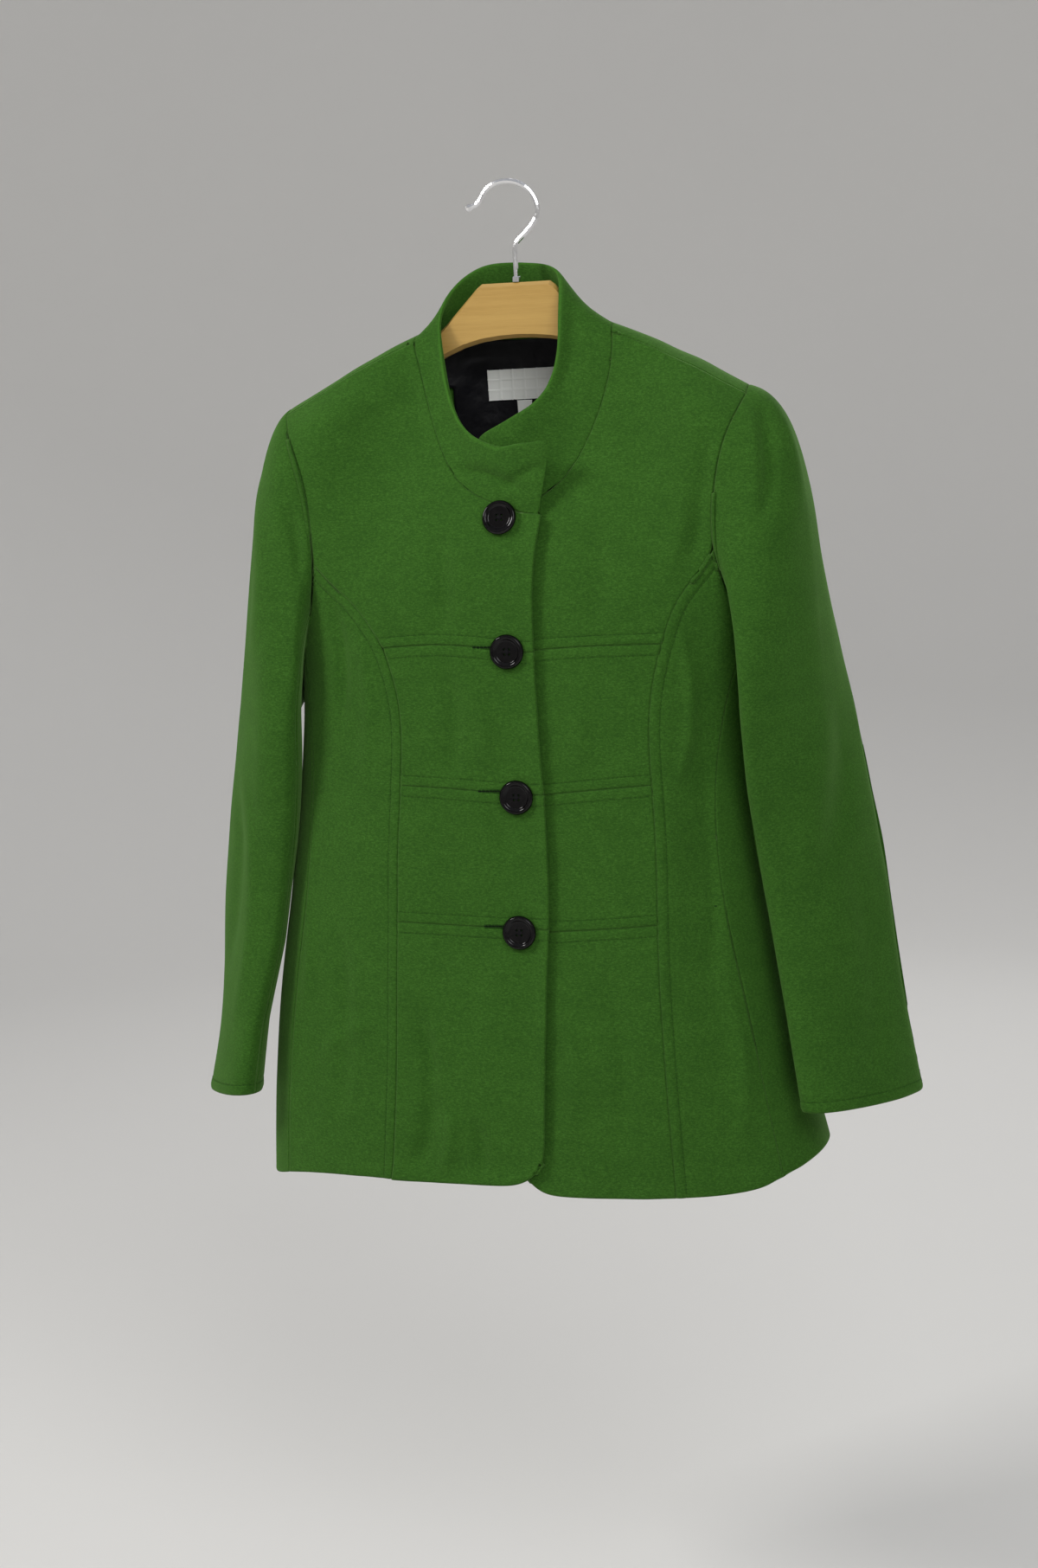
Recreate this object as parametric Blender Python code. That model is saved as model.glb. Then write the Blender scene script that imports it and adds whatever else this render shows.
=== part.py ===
"""A lady's hip-length melton coat, buttoned up on a wooden hanger.

Every cut piece of cloth is a wall in its true shape, laid out on one skin: a body of
oval sections that closes over the shoulder ridge. A place on the skin is a turn, the
angle round from the centre line to the side seam, and a run, the way down the cloth
from the ridge. +Z is up, the coat faces -Y, its left side is +X, and the origin is
under the crown of the hook, where a rail would carry it.
"""
import math

import bmesh
import bpy
import numpy as np
from mathutils import Vector
from mathutils.bvhtree import BVHTree

MM = 0.001

# Driving sizes, in metres
CLOTH = 2.4 * MM            # melton wall
COLLAR_CLOTH = 2.0 * MM     # each of the two collar layers
LINING = 1.0 * MM
LABEL_CLOTH = 0.8 * MM
GAP = 0.3 * MM              # left between neighbours at a seam
LAP = 3.2 * MM              # how far the left front lies under the right
COLLAR_LAP = 5.6 * MM       # the same at the neck, where the collar is two layers
LAP_FADE = 45 * MM
HEM_CORNER = 32 * MM        # rounded lower corner of each front
SEAM_FALL = 6.5 * MM        # shoulder seam, below the ridge on the front
WIRE_RADIUS = 2.15 * MM
HANGER_THICK = 12 * MM
TILT = 0.010                # the left shoulder hangs a little higher

# How the wall over the shoulder ridge rounds off
RIDGE_SOFT = 30 * MM
CHEST_FALL = 230 * MM
FULL_SHARE = 0.9

SIDES = {"right": -1.0, "left": 1.0}


def table(columns, rows):
    """Rows of millimetres or degrees as one array for each named column."""
    values = np.array(rows, float).T
    return dict(zip(columns, values))


# Oval sections of the body, by their drop below the hook (mm)
BODY = table(("drop", "right", "left", "front", "back", "centre", "square"), (
    (90, 215, 215, 70, 58, 5, 3.0),
    (200, 215, 215, 74, 62, 5, 3.0),
    (300, 213, 211, 78, 66, 7, 2.9),
    (350, 210, 203, 80, 66, 11, 2.7),
    (410, 211, 188, 82, 64, 14, 2.5),
    (490, 220, 185, 84, 62, 15, 2.4),
    (580, 232.8, 192, 87, 70, 14, 2.4),
    (680, 246.8, 209, 91, 88, 12, 2.4),
    (760, 255, 225, 94, 104, 11, 2.4),
    (840, 261, 243, 96, 116, 11, 2.4),
))

# Rounding of the wall at the ridge, by distance from the centre line (mm)
ROUNDING = table(("across", "front", "back"), (
    (0, 18, 42), (45, 18, 38), (65, 18, 25), (82, 18, 18), (110, 24, 24),
    (140, 42, 42), (170, 58, 58), (215, 60, 60),
))

# The armhole, once round from the shoulder seam down the front and up the back
ARMHOLE = table(("turn", "fall"), (
    (65.7, 6.5), (62.7, 21), (57.8, 48), (54.0, 85), (52.7, 115), (53.4, 144),
    (59.0, 176), (70.0, 202), (83.0, 221), (95.0, 229), (106.0, 223), (117.0, 203),
    (123.0, 167), (125.4, 128), (125.0, 87), (122.3, 49), (118.0, 21.5),
    (114.8, 0), (114.3, -6.5),
))
JUNCTION_ROW = 5            # where the princess seam leaves the armhole
SIDE_TOP_ROW = 7            # where the side seam leaves it
CLIMB_ROW = 11              # where it starts to climb the back
RIDGE_ROW = 14              # where it comes near the shoulder ridge
TURN_TO_MM = 2.6            # a degree of turn is about this much cloth there

# Princess seam, from the armhole to the hem: distance from the centre line (mm)
PRINCESS = table(("drop", "right", "left"), (
    (304, 171, 171), (322, 152.5, 153), (340, 134, 137), (358, 121.5, 128),
    (382, 109, 118.5), (406, 104, 110.5), (431, 102, 106.5), (480, 105.5, 106.5),
    (530, 110, 109), (629, 113, 110.5), (732, 116, 116), (831, 124, 122), (850, 125, 123),
))
JUNCTION_DROP = 304 * MM    # its upper end

# Side seam, from the armhole to the hem: its turn on each side
SIDE_SEAM = table(("drop", "right", "left"), (
    (370, 70, 70), (416, 67, 64), (488, 62.5, 57.5), (575, 61, 56.5), (680, 62.5, 59.5),
    (850, 63, 60.3),
))

# Pocket mouth in the side seam: the seam stands open a little between two drops
POCKET_TOP = 587 * MM
POCKET_FOOT = 707 * MM
POCKET_TURN = 0.32          # degrees the side front's edge is drawn back

# Free edges of the fronts: how far each one runs past the centre line (mm)
FRONT_EDGE = table(("drop", "right", "left"), (
    (262, 32, 26), (310, 24, 26), (341, 20, 26), (377, 18, 26), (430, 17, 26),
    (504, 20, 24), (585, 22, 22), (655, 19, 18), (709, 17, 15), (790, 14, 10),
    (850, 13, 10),
))

# Neck seam, from the shoulder seam to the front edges and to the centre back (mm)
NECK_SIDE = 85 * MM         # where it meets the shoulder seam, from the centre line
NECK_SIDE_DROP = 122 * MM
NECK_RIGHT = table(("across", "drop"), (
    (85, 124), (80, 140), (73.5, 165), (62.5, 199), (50.5, 226), (40.5, 241),
    (29, 248.7), (16, 254.3), (-8, 264), (-32, 268.5),
))
NECK_LEFT = table(("across", "drop"), (
    (85, 124), (85.5, 140), (82, 163), (75.5, 187), (66.5, 210), (55, 231), (40, 246),
    (21, 256), (-3, 261), (-26, 262),
))
NECK_BACK = table(("across", "run"), (
    (0, 46), (22, 44), (42, 38), (58, 29), (69, 20), (77, 10), (82, 0), (84, -10.4),
    (85, -20.8),
))

# Rim of the collar, from the right front edge (-2) over the right shoulder (-1), the
# centre back (0) and the left shoulder (1) to the left front edge (2): places in mm
RIM = table(("station", "x", "y", "drop"), (
    (-2.00, 48.5, -74, 210), (-1.965, 42, -74, 206.5), (-1.90, 26, -71, 208.5),
    (-1.83, 9, -67, 212.5), (-1.75, -9, -61, 210), (-1.66, -25, -53, 202.5),
    (-1.54, -39, -43, 187), (-1.40, -47.5, -35, 166), (-1.20, -53.5, -27, 138),
    (-1.00, -57, -16, 111), (-0.80, -55.5, -4, 90), (-0.55, -45, 10, 73.5),
    (-0.25, -24, 20.5, 63), (0.00, -3, 23.5, 62), (0.25, 17, 21.5, 63),
    (0.50, 34, 13, 65.5), (0.70, 44, 1, 73), (0.90, 47, -13, 87), (1.10, 48, -24, 107),
    (1.28, 48, -30, 129), (1.42, 45.5, -34, 148), (1.55, 40, -40, 165.5),
    (1.66, 31, -46, 177), (1.76, 19, -51, 185), (1.86, 3, -53, 192.5),
    (1.93, -10, -50, 198), (2.00, -24, -42.5, 204),
))
COLLAR_HOLLOW = table(("station", "inward"), (
    (-2, 1), (-1.6, 2), (-1.2, 2), (-0.8, 0.5), (-0.3, 3), (0.3, 3), (0.8, 3.5), (1.1, 4),
    (1.4, 3), (1.7, 2), (2, 1),
))

# Sleeve sections below the armhole: oval, its long side turned from the X axis (mm)
SLEEVE = {
    "right": table(("drop", "x", "y", "long", "short", "turn"), (
        (445, 231.5, -14, 73, 22.5, 59),
        (500, 238, -12, 67, 25, 56),
        (567, 249.2, -11, 62, 22.8, 52),
        (640, 258.6, -14, 59, 20.9, 55),
        (700, 267, -17, 58, 19.5, 60),
        (765, 278, -21, 60, 22, 61),
    )),
    "left": table(("drop", "x", "y", "long", "short", "turn"), (
        (445, 234, -14, 73, 22, 63),
        (500, 240, -12, 67, 23, 55),
        (567, 250, -11, 63, 23, 48),
        (640, 260, -14, 60, 22, 46),
        (700, 268.5, -16, 60, 21, 46),
        (765, 279, -20, 62, 21, 47),
    )),
}
SLEEVE_HANG = {"right": 3 * MM, "left": -4 * MM}
CUFF_RISE = {"right": 8 * MM, "left": 0.0}      # the cuff's front edge, above its back

# How the sleeve leaves the armhole and where it heads, round the tube (mm)
SLEEVE_START = table(("round", "out", "forward", "down"), (
    (0, 160, 0, 25), (60, 110, 30, 60), (90, 45, 46, 60), (130, 28, 16, 40),
    (180, 30, 0, 36), (230, 30, -16, 45), (270, 90, -28, 60), (320, 140, -10, 50),
    (360, 160, 0, 25),
))
SLEEVE_FULL = {"right": 0.66, "left": 1.22}     # share of the cap's outward start
SLEEVE_TOP = 445
SLEEVE_REACH = (0.0, 0.06, 0.15, 0.27, 0.42, 0.60, 0.80, 1.0)
SLEEVE_ROWS = (480, 515, 552, 590, 630, 670, 708, 740, 765)
FRONT_SLEEVE_SEAM = 112.0   # degrees round the tube from its outer face
BACK_SLEEVE_SEAM = 284.0

# Large soft folds, as ridges (+) or troughs (-) that run down the skin
BODY_FOLDS = (
    # side, face, turn top, turn foot, drop top, drop foot, half width, height mm
    ("left", "front", 41.0, 39.0, 340, 600, 4.5, 3.6),
    ("left", "front", 50.0, 47.0, 420, 860, 5.0, -3.0),
    ("right", "front", 40.0, 42.0, 350, 640, 5.0, 2.8),
    ("right", "front", 49.0, 51.0, 430, 860, 5.5, -2.6),
    ("left", "back", 70.0, 66.0, 470, 900, 9.0, 5.0),
    ("left", "back", 34.0, 36.0, 480, 900, 7.0, 4.5),
    ("left", "back", 52.0, 51.0, 500, 900, 7.0, -4.0),
    ("right", "back", 68.0, 66.0, 470, 900, 9.0, 5.0),
    ("right", "back", 30.0, 33.0, 500, 900, 7.0, 4.0),
    ("right", "back", 50.0, 50.0, 480, 900, 7.0, -4.0),
)
SLEEVE_FOLDS = (
    # side, round top, round foot, drop top, drop foot, half width, height mm
    ("right", 60.0, 100.0, 300, 470, 16.0, -4.0),
    ("right", 35.0, 60.0, 300, 560, 18.0, 2.5),
    ("left", 70.0, 40.0, 380, 640, 16.0, -2.5),
    ("left", 20.0, 20.0, 300, 600, 20.0, 2.0),
)

# Seams across the centre fronts: drop at the front edge, drop at the princess seam and
# rise of the arch between them (mm)
CROSS_SEAMS = {
    "right": ((378, 372.5, 4.5), (495, 487, 1.2), (606.5, 602, 0.5)),
    "left": ((378, 375, 1.5), (497.5, 489.5, 1.0), (610, 605, 0)),
}

HEM_CENTRE = {"right": 823.5 * MM, "left": 833 * MM}
HEM_SIDE = {"right": 842 * MM, "left": 810 * MM}
HEM_POWER = 7
HEM_DROP = 830 * MM         # level at which the hem is laid out
HEM_BACK_DROP = 826 * MM
BACK_SPLIT = 262 * MM       # drop of the back at its centre, level with the lining's foot
BACK_LEVELS = (BACK_SPLIT, 208 * MM, 168 * MM, 140 * MM)     # rows up the centre back

# Buttons: how far past the centre line, their drop and how far off the cloth (mm)
BUTTONS = ((-3, 269.5, 0.9), (-5, 377, 0.35), (-4, 496.5, 0.35), (-4, 608.7, 0.35))
BUTTON_HOLE_RADIUS = 1.15 * MM
BUTTON_HOLE_SPREAD = 2.7 * MM

# Hanger bar: half of it, from the middle out (mm)
BAR_MIDDLE = 7 * MM
BAR_TOP = table(("across", "drop"), ((0, 80), (29, 80), (33, 83), (60, 111.5), (66, 117),
                                     (73, 121), (82, 123.8), (92, 125.8)))
BAR_FOOT = table(("across", "drop"), (
    (0, 125), (25, 126.5), (45, 131), (66, 140), (90, 154), (120, 170), (160, 190),
    (192, 204),
))
BAR_END = 192 * MM
BAR_CLEAR = 3.7 * MM        # from the ridge's line down to the bar
BAR_STATIONS = (0, 15, 29, 33, 46, 60, 66, 73, 82, 92, 101, 114, 128, 144, 160, 176, 188, 192)
BAR_END_SHRINK = 3 * MM     # how much smaller its ends are all round
BAR_FLAT = 1.6 * MM
BAR_CHAMFER = 3.0 * MM

# Hook wire, centre line in the plane y = 0 (mm)
HOOK_LINE = table(("x", "drop"), (
    (-28.6, 16.6), (-24.8, 15.3), (-21.5, 12), (-19, 7.7), (-15.2, 3),
    (-8.5, -0.9), (-0.2, -2.2), (8.6, -1.1), (17, 3.2), (23, 9.4), (26.4, 16.8),
    (27, 23), (25.6, 28.5), (22.4, 33.4), (17.8, 38.5), (12.6, 43.4), (8.6, 47),
    (6.6, 51), (6.2, 57), (6.4, 66), (6.6, 76.6),
))
HOOK_STEPS = 38
HOOK_SIDES = 8
HOOK_TIP_RADIUS = 3.2 * MM
FERRULE_X = 6.6 * MM
FERRULE = table(("radius", "drop"), ((2.5, 75.2), (3.1, 75.2), (3.6, 76), (3.6, 79.6),
                                     (2.5, 79.6)))

# Label and size tab on the lining inside the back neck
LABEL_CLEAR = 0.4 * MM
LABEL = {"left": -34 * MM, "right": 29 * MM, "top": 150 * MM, "foot": 176 * MM}
TAB = {"left": -10 * MM, "right": 3 * MM, "top": 176.4 * MM, "foot": 188 * MM}

# Button: a dished disc with a raised rim, its back at height 0 (mm)
BUTTON_PROFILE = table(("radius", "height"), (
    (0, 0.4), (9.0, 0.0), (12.6, 0.0), (14.3, 1.6), (14.3, 2.8), (12.9, 4.6), (11.0, 4.3),
    (9.2, 2.5), (0, 2.1),
))

# How many cells each piece has
BUTTON_SEGMENTS = 20
FERRULE_SEGMENTS = 16
COLLAR_ROWS = 5
LINING_COLS = 3
LINING_ROWS = 8
LABEL_CELLS = (6, 3)
TAB_CELLS = (2, 2)
COLS = 9
SIDE_COLS = 5
YOKE_ROWS = 6
ARMHOLE_TOP_ROWS = 7
ARMHOLE_SIDE_ROWS = 4
ARMHOLE_UNDER_COLS = 4
ARMHOLE_CLIMB_ROWS = 8
MIDDLE_ROWS = 3
SKIRT_ROWS = 7
NECK_FRONT_ROWS = 9
RIDGE_RUNS = (28 * MM, 14 * MM, 0.0, -10.4 * MM, -20.8 * MM)

COLOURS = {
    "melton": ((0.045, 0.125, 0.022), 0.95, 0.0),
    "lining": ((0.008, 0.008, 0.009), 0.45, 0.0),
    "label": ((0.62, 0.63, 0.58), 0.4, 0.0),
    "button": ((0.006, 0.006, 0.007), 0.12, 0.0),
    "wood": ((0.58, 0.37, 0.19), 0.5, 0.0),
    "steel": ((0.62, 0.62, 0.63), 0.15, 1.0),
}


# ---------------------------------------------------------------- curves

def smooth(xs, ys, x):
    """A smooth curve through a table, with straight ends."""
    xs = np.asarray(xs, float)
    ys = np.asarray(ys, float)
    steps = np.diff(xs)
    slopes = np.diff(ys) / steps
    tangents = np.empty_like(ys)
    tangents[0] = slopes[0]
    tangents[-1] = slopes[-1]
    tangents[1:-1] = (slopes[:-1] * steps[1:] + slopes[1:] * steps[:-1]) / (steps[1:] + steps[:-1])
    i = int(np.clip(np.searchsorted(xs, x) - 1, 0, len(xs) - 2))
    if x <= xs[0]:
        return ys[0] + tangents[0] * (x - xs[0])
    if x >= xs[-1]:
        return ys[-1] + tangents[-1] * (x - xs[-1])
    t = (x - xs[i]) / steps[i]
    return (ys[i] * (1 + 2 * t) * (1 - t) ** 2 + ys[i + 1] * t * t * (3 - 2 * t)
            + steps[i] * (tangents[i] * t * (1 - t) ** 2 - tangents[i + 1] * t * t * (1 - t)))


def look(tab, key, name, x):
    """A table's named column at x, both in metres."""
    return smooth(tab[key], tab[name], x / MM) * MM


def spread(points, count):
    """A curve through points in a plane, sampled evenly along its length."""
    points = np.array(points, float)
    lengths = np.r_[0, np.cumsum(np.linalg.norm(np.diff(points, axis=0), axis=1))]
    dense = np.linspace(0, lengths[-1], 40 * len(points))
    curve = np.array([[smooth(lengths, points[:, k], d) for k in range(points.shape[1])]
                      for d in dense])
    along = np.r_[0, np.cumsum(np.linalg.norm(np.diff(curve, axis=0), axis=1))]
    wanted = np.linspace(0, along[-1], count + 1)
    return np.array([[np.interp(w, along, curve[:, k]) for k in range(points.shape[1])]
                     for w in wanted])


def ease(t):
    """From 0 to 1 with no corner at either end."""
    t = min(max(t, 0.0), 1.0)
    return t * t * (3 - 2 * t)


# ---------------------------------------------------------------- the skin

def ridge_drop(across):
    """Drop of the shoulder ridge at a distance from the centre line."""
    out = across / MM - 80.0
    bend = 0.0008 if out > 0 else 0.0025
    return (115.5 + 0.40 * out + bend * out * out) * MM


def fall_of_run(run):
    return math.sqrt(run * run + RIDGE_SOFT ** 2) - RIDGE_SOFT


def run_of_fall(fall):
    size = math.sqrt((abs(fall) + RIDGE_SOFT) ** 2 - RIDGE_SOFT ** 2)
    return math.copysign(size, fall)


def section(side, drop):
    """Half width, centre shift and squareness of the body at a drop."""
    width = look(BODY, "drop", side, drop)
    centre = look(BODY, "drop", "centre", drop)
    square = smooth(BODY["drop"], BODY["square"], drop / MM)
    return width, centre, square


def place(side, turn, run):
    """The drop and the distance from the centre line at a turn and a run."""
    if turn > 90:
        turn = 180 - turn
    drop = NECK_SIDE_DROP
    across = 0.0
    for _ in range(8):
        width = look(BODY, "drop", side, drop)
        across = width * math.sin(math.radians(turn))
        drop = ridge_drop(abs(across)) + fall_of_run(run)
    return drop, across


def turn_of(side, across, drop):
    """The turn of a point given by its distance from the centre line."""
    width = look(BODY, "drop", side, drop)
    return math.degrees(math.asin(max(-1.0, min(1.0, across / width))))


def at(side, across, drop):
    """Turn and run of a point on the front or back, in metres from centre and hook."""
    return turn_of(side, across, drop), run_of_fall(drop - ridge_drop(abs(across)))


def base_point(side, face, turn, run):
    if turn > 90:
        face = "back" if face == "front" else "front"
        turn = 180 - turn
    if run < 0:
        face = "back" if face == "front" else "front"
        run = -run
    drop, across = place(side, turn, run)
    width, centre, square = section(side, drop)
    depth = look(BODY, "drop", face, drop)
    sine = min(abs(math.sin(math.radians(turn))), 1.0)
    oval = (1 - sine ** square) ** (1 / square)
    fall = drop - ridge_drop(abs(across))
    rounding = look(ROUNDING, "across", face, abs(across))
    full = FULL_SHARE * depth
    near = 1 - (1 - min(fall / rounding, 1.0)) ** 2
    far = math.sin(0.5 * math.pi * min(fall / CHEST_FALL, 1.0)) ** 2
    share = (rounding * math.sqrt(max(near, 0.0)) + (full - rounding) * far) / full
    forward = -10 * MM * (across / (200 * MM)) ** 2 * (1 - far)
    sign = -1.0 if face == "front" else 1.0
    x = centre + SIDES[side] * across
    return np.array((x, forward + sign * depth * oval * share, -drop + TILT * x))


def fold_height(side, face, turn, drop):
    """Rise of the large folds at a place on the body."""
    if turn > 90:
        face = "back" if face == "front" else "front"
        turn = 180 - turn
    total = 0.0
    for fold_side, fold_face, top, foot, drop_top, drop_foot, half, height in BODY_FOLDS:
        if (fold_side, fold_face) != (side, face):
            continue
        share = (drop / MM - drop_top) / (drop_foot - drop_top)
        if not 0 < share < 1:
            continue
        middle = top + (foot - top) * share
        swell = math.sin(math.pi * share) ** 0.8
        total += height * MM * swell * math.exp(-((turn - middle) / half) ** 2)
    return total


def lap_depth(side, across, drop):
    """The left front dips under the right one along its edge."""
    if side != "left":
        return 0.0
    edge = look(FRONT_EDGE, "drop", "right", drop)
    depth = COLLAR_LAP + (LAP - COLLAR_LAP) * ease((drop - 275 * MM) / (90 * MM))
    return depth * (1 - ease((across - edge - 1.5 * MM) / LAP_FADE))


def cloth(side, face, turn, run, lift=0.0, lap=True):
    """Outer point of the cloth and its outward normal."""
    dt, dr = 0.05, 0.05 * MM
    here = base_point(side, face, turn, run)
    along_turn = base_point(side, face, turn + dt, run) - base_point(side, face, turn - dt, run)
    along_run = base_point(side, face, turn, run + dr) - base_point(side, face, turn, run - dr)
    normal = np.cross(along_turn, along_run)
    sign = SIDES[side] * (-1.0 if face == "front" else 1.0)
    normal = sign * normal / np.linalg.norm(normal)
    drop, across = place(side, turn, run)
    rise = lift + fold_height(side, face, turn, drop)
    if lap and face == "front" and turn < 90:
        rise -= lap_depth(side, across, drop)
    return here + normal * rise, normal


# ---------------------------------------------------------------- seams as turn and run

def cross_drop(side, index, across):
    """Drop of a seam across the centre front, at a distance from the centre line."""
    inner, outer, arch = CROSS_SEAMS[side][index]
    share = min(max(across / (110 * MM), 0.0), 1.0)
    return (inner + (outer - inner) * share - 4 * arch * share * (1 - share)) * MM


def hem_drop(side, face, across):
    width = look(BODY, "drop", side, HEM_BACK_DROP)
    share = min(abs(across) / width, 1.0)
    start = HEM_CENTRE[side] if face == "front" else HEM_BACK_DROP
    return start + (HEM_SIDE[side] - start) * share ** HEM_POWER


def edge_line(side, drops):
    """Points down the free edge of a front."""
    return [at(side, -look(FRONT_EDGE, "drop", side, d), d) for d in drops]


def princess_line(side, drops):
    return [at(side, look(PRINCESS, "drop", side, d), d) for d in drops]


def side_line(side, drops):
    """Points on the side seam, as turns on the front face."""
    points = []
    for drop in drops:
        turn = smooth(SIDE_SEAM["drop"], SIDE_SEAM[side], drop / MM)
        width = look(BODY, "drop", side, drop)
        across = width * math.sin(math.radians(turn))
        points.append((turn, run_of_fall(drop - ridge_drop(across))))
    return points


def armhole_part(first, last, count):
    """Evenly spaced points between two rows of the armhole's table."""
    rows = [(t, run_of_fall(f * MM) / MM) for t, f in zip(ARMHOLE["turn"], ARMHOLE["fall"])]
    flat = np.array(rows)
    weights = np.array((TURN_TO_MM, 1.0))
    scaled = flat * weights
    lengths = np.r_[0, np.cumsum(np.linalg.norm(np.diff(scaled, axis=0), axis=1))]
    dense = np.linspace(lengths[first], lengths[last], 30 * count + 1)
    curve = np.array([[smooth(lengths, scaled[:, k], d) for k in (0, 1)] for d in dense])
    along = np.r_[0, np.cumsum(np.linalg.norm(np.diff(curve, axis=0), axis=1))]
    wanted = np.linspace(0, along[-1], count + 1)
    return [(np.interp(w, along, curve[:, 0]) / weights[0],
             np.interp(w, along, curve[:, 1]) / weights[1] * MM) for w in wanted]


def armhole():
    """The armhole in four parts: down the front, under the front, under the back, and
    up the back and over the ridge."""
    top = armhole_part(0, JUNCTION_ROW, ARMHOLE_TOP_ROWS)
    lower = armhole_part(JUNCTION_ROW, SIDE_TOP_ROW, ARMHOLE_SIDE_ROWS)
    under = armhole_part(SIDE_TOP_ROW, CLIMB_ROW, ARMHOLE_UNDER_COLS)
    climb = armhole_part(CLIMB_ROW, 16, ARMHOLE_CLIMB_ROWS)[:-1]
    rows = [(run_of_fall(f * MM) / MM, t) for t, f in zip(ARMHOLE["turn"], ARMHOLE["fall"])]
    runs, turns = zip(*sorted(rows[RIDGE_ROW:]))
    ridge = [(smooth(runs, turns, r / MM), r) for r in RIDGE_RUNS]
    return top, lower, under, climb + ridge


def neck_line(side, count):
    """Front neck seam, from the free edge to the shoulder seam."""
    tab = NECK_RIGHT if side == "right" else NECK_LEFT
    points = spread(list(zip(tab["across"], tab["drop"])), count)[::-1] * MM
    line = [at(side, a, d) for a, d in points]
    line[-1] = (turn_of(side, NECK_SIDE, NECK_SIDE_DROP), run_of_fall(SEAM_FALL))
    return line


def neck_back_line(side):
    """Back neck seam, from the centre back over the ridge to the shoulder seam."""
    return [(turn_of(side, a * MM, NECK_SIDE_DROP), r * MM)
            for a, r in zip(NECK_BACK["across"], NECK_BACK["run"])]


def front_neck_drop(side):
    tab = NECK_RIGHT if side == "right" else NECK_LEFT
    return tab["drop"][-1] * MM


# ---------------------------------------------------------------- patches and walls

def coons(left, right, foot, top):
    """A grid of turns and runs inside four edges: rows go up, columns go out."""
    left, right, foot, top = (np.array(e, float) for e in (left, right, foot, top))
    rows, cols = len(left) - 1, len(foot) - 1
    grid = np.empty((rows + 1, cols + 1, 2))
    for i in range(rows + 1):
        for j in range(cols + 1):
            v, u = i / rows, j / cols
            corners = ((1 - u) * (1 - v) * foot[0] + u * (1 - v) * foot[-1]
                       + (1 - u) * v * top[0] + u * v * top[-1])
            grid[i, j] = ((1 - u) * left[i] + u * right[i]
                          + (1 - v) * foot[j] + v * top[j] - corners)
    return grid


def between(start, end, count):
    """Even steps between two places on the skin."""
    return [tuple(np.array(start) + (np.array(end) - np.array(start)) * k / count)
            for k in range(count + 1)]


def lay(side, face, grid, lift=0.0):
    """Outer points and normals of a grid of turns and runs."""
    rows, cols = grid.shape[:2]
    points = np.empty((rows, cols, 3))
    normals = np.empty((rows, cols, 3))
    for i in range(rows):
        for j in range(cols):
            points[i, j], normals[i, j] = cloth(side, face, *grid[i, j], lift)
    return points, normals


def unit(vector):
    size = np.linalg.norm(vector)
    return vector / size if size > 1e-12 else vector * 0.0


def make_object(name, verts, faces, material):
    mesh = bpy.data.meshes.new(name)
    mesh.from_pydata([tuple(v) for v in verts], [], faces)
    shape = bmesh.new()
    shape.from_mesh(mesh)
    bmesh.ops.remove_doubles(shape, verts=shape.verts, dist=2e-6)
    bmesh.ops.dissolve_degenerate(shape, dist=1e-7, edges=shape.edges)
    bmesh.ops.triangulate(shape, faces=shape.faces)
    bmesh.ops.recalc_face_normals(shape, faces=shape.faces)
    shape.to_mesh(mesh)
    shape.free()
    mesh.materials.append(bpy.data.materials[material])
    mesh.shade_smooth()
    mesh.set_sharp_from_angle(angle=math.radians(40))
    piece = bpy.data.objects.new(name, mesh)
    bpy.context.collection.objects.link(piece)
    return piece


def weld(grids):
    """One list of corners and faces from grids that share edges, in-out directions kept."""
    places, normals, faces, seen = [], [], [], {}
    for points, arrows in grids:
        rows, cols = points.shape[:2]
        ids = np.empty((rows, cols), int)
        for i in range(rows):
            for j in range(cols):
                key = tuple(np.round(points[i, j] / (0.02 * MM)).astype(int))
                near = [seen[k] for k in neighbours(key) if k in seen]
                if near:
                    ids[i, j] = near[0]
                    normals[near[0]] = normals[near[0]] + arrows[i, j]
                else:
                    ids[i, j] = seen[key] = len(places)
                    places.append(points[i, j])
                    normals.append(arrows[i, j].copy())
        for i in range(rows - 1):
            for j in range(cols - 1):
                a, b, c, d = ids[i, j], ids[i, j + 1], ids[i + 1, j + 1], ids[i + 1, j]
                for loop in ([a, b, c], [a, c, d]):
                    if len(set(loop)) < 3:
                        continue
                    across = np.cross(places[loop[1]] - places[loop[0]],
                                      places[loop[2]] - places[loop[0]])
                    ahead = across.dot(normals[loop[0]]) > 0
                    faces.append(loop if ahead else loop[::-1])
    return np.array(places), np.array([unit(n) for n in normals]), faces


def neighbours(key):
    steps = (0, -1, 1)
    return [(key[0] + a, key[1] + b, key[2] + c) for a in steps for b in steps for c in steps]


def boundary(faces):
    """For each corner on the edge of a sheet, the corners before and after it."""
    sides = set()
    for loop in faces:
        for k, v in enumerate(loop):
            sides.add((loop[k - 1], v))
    free = sorted(side for side in sides if side[::-1] not in sides)
    before = {b: a for a, b in free}
    after = {a: b for a, b in free}
    return free, before, after


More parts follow.
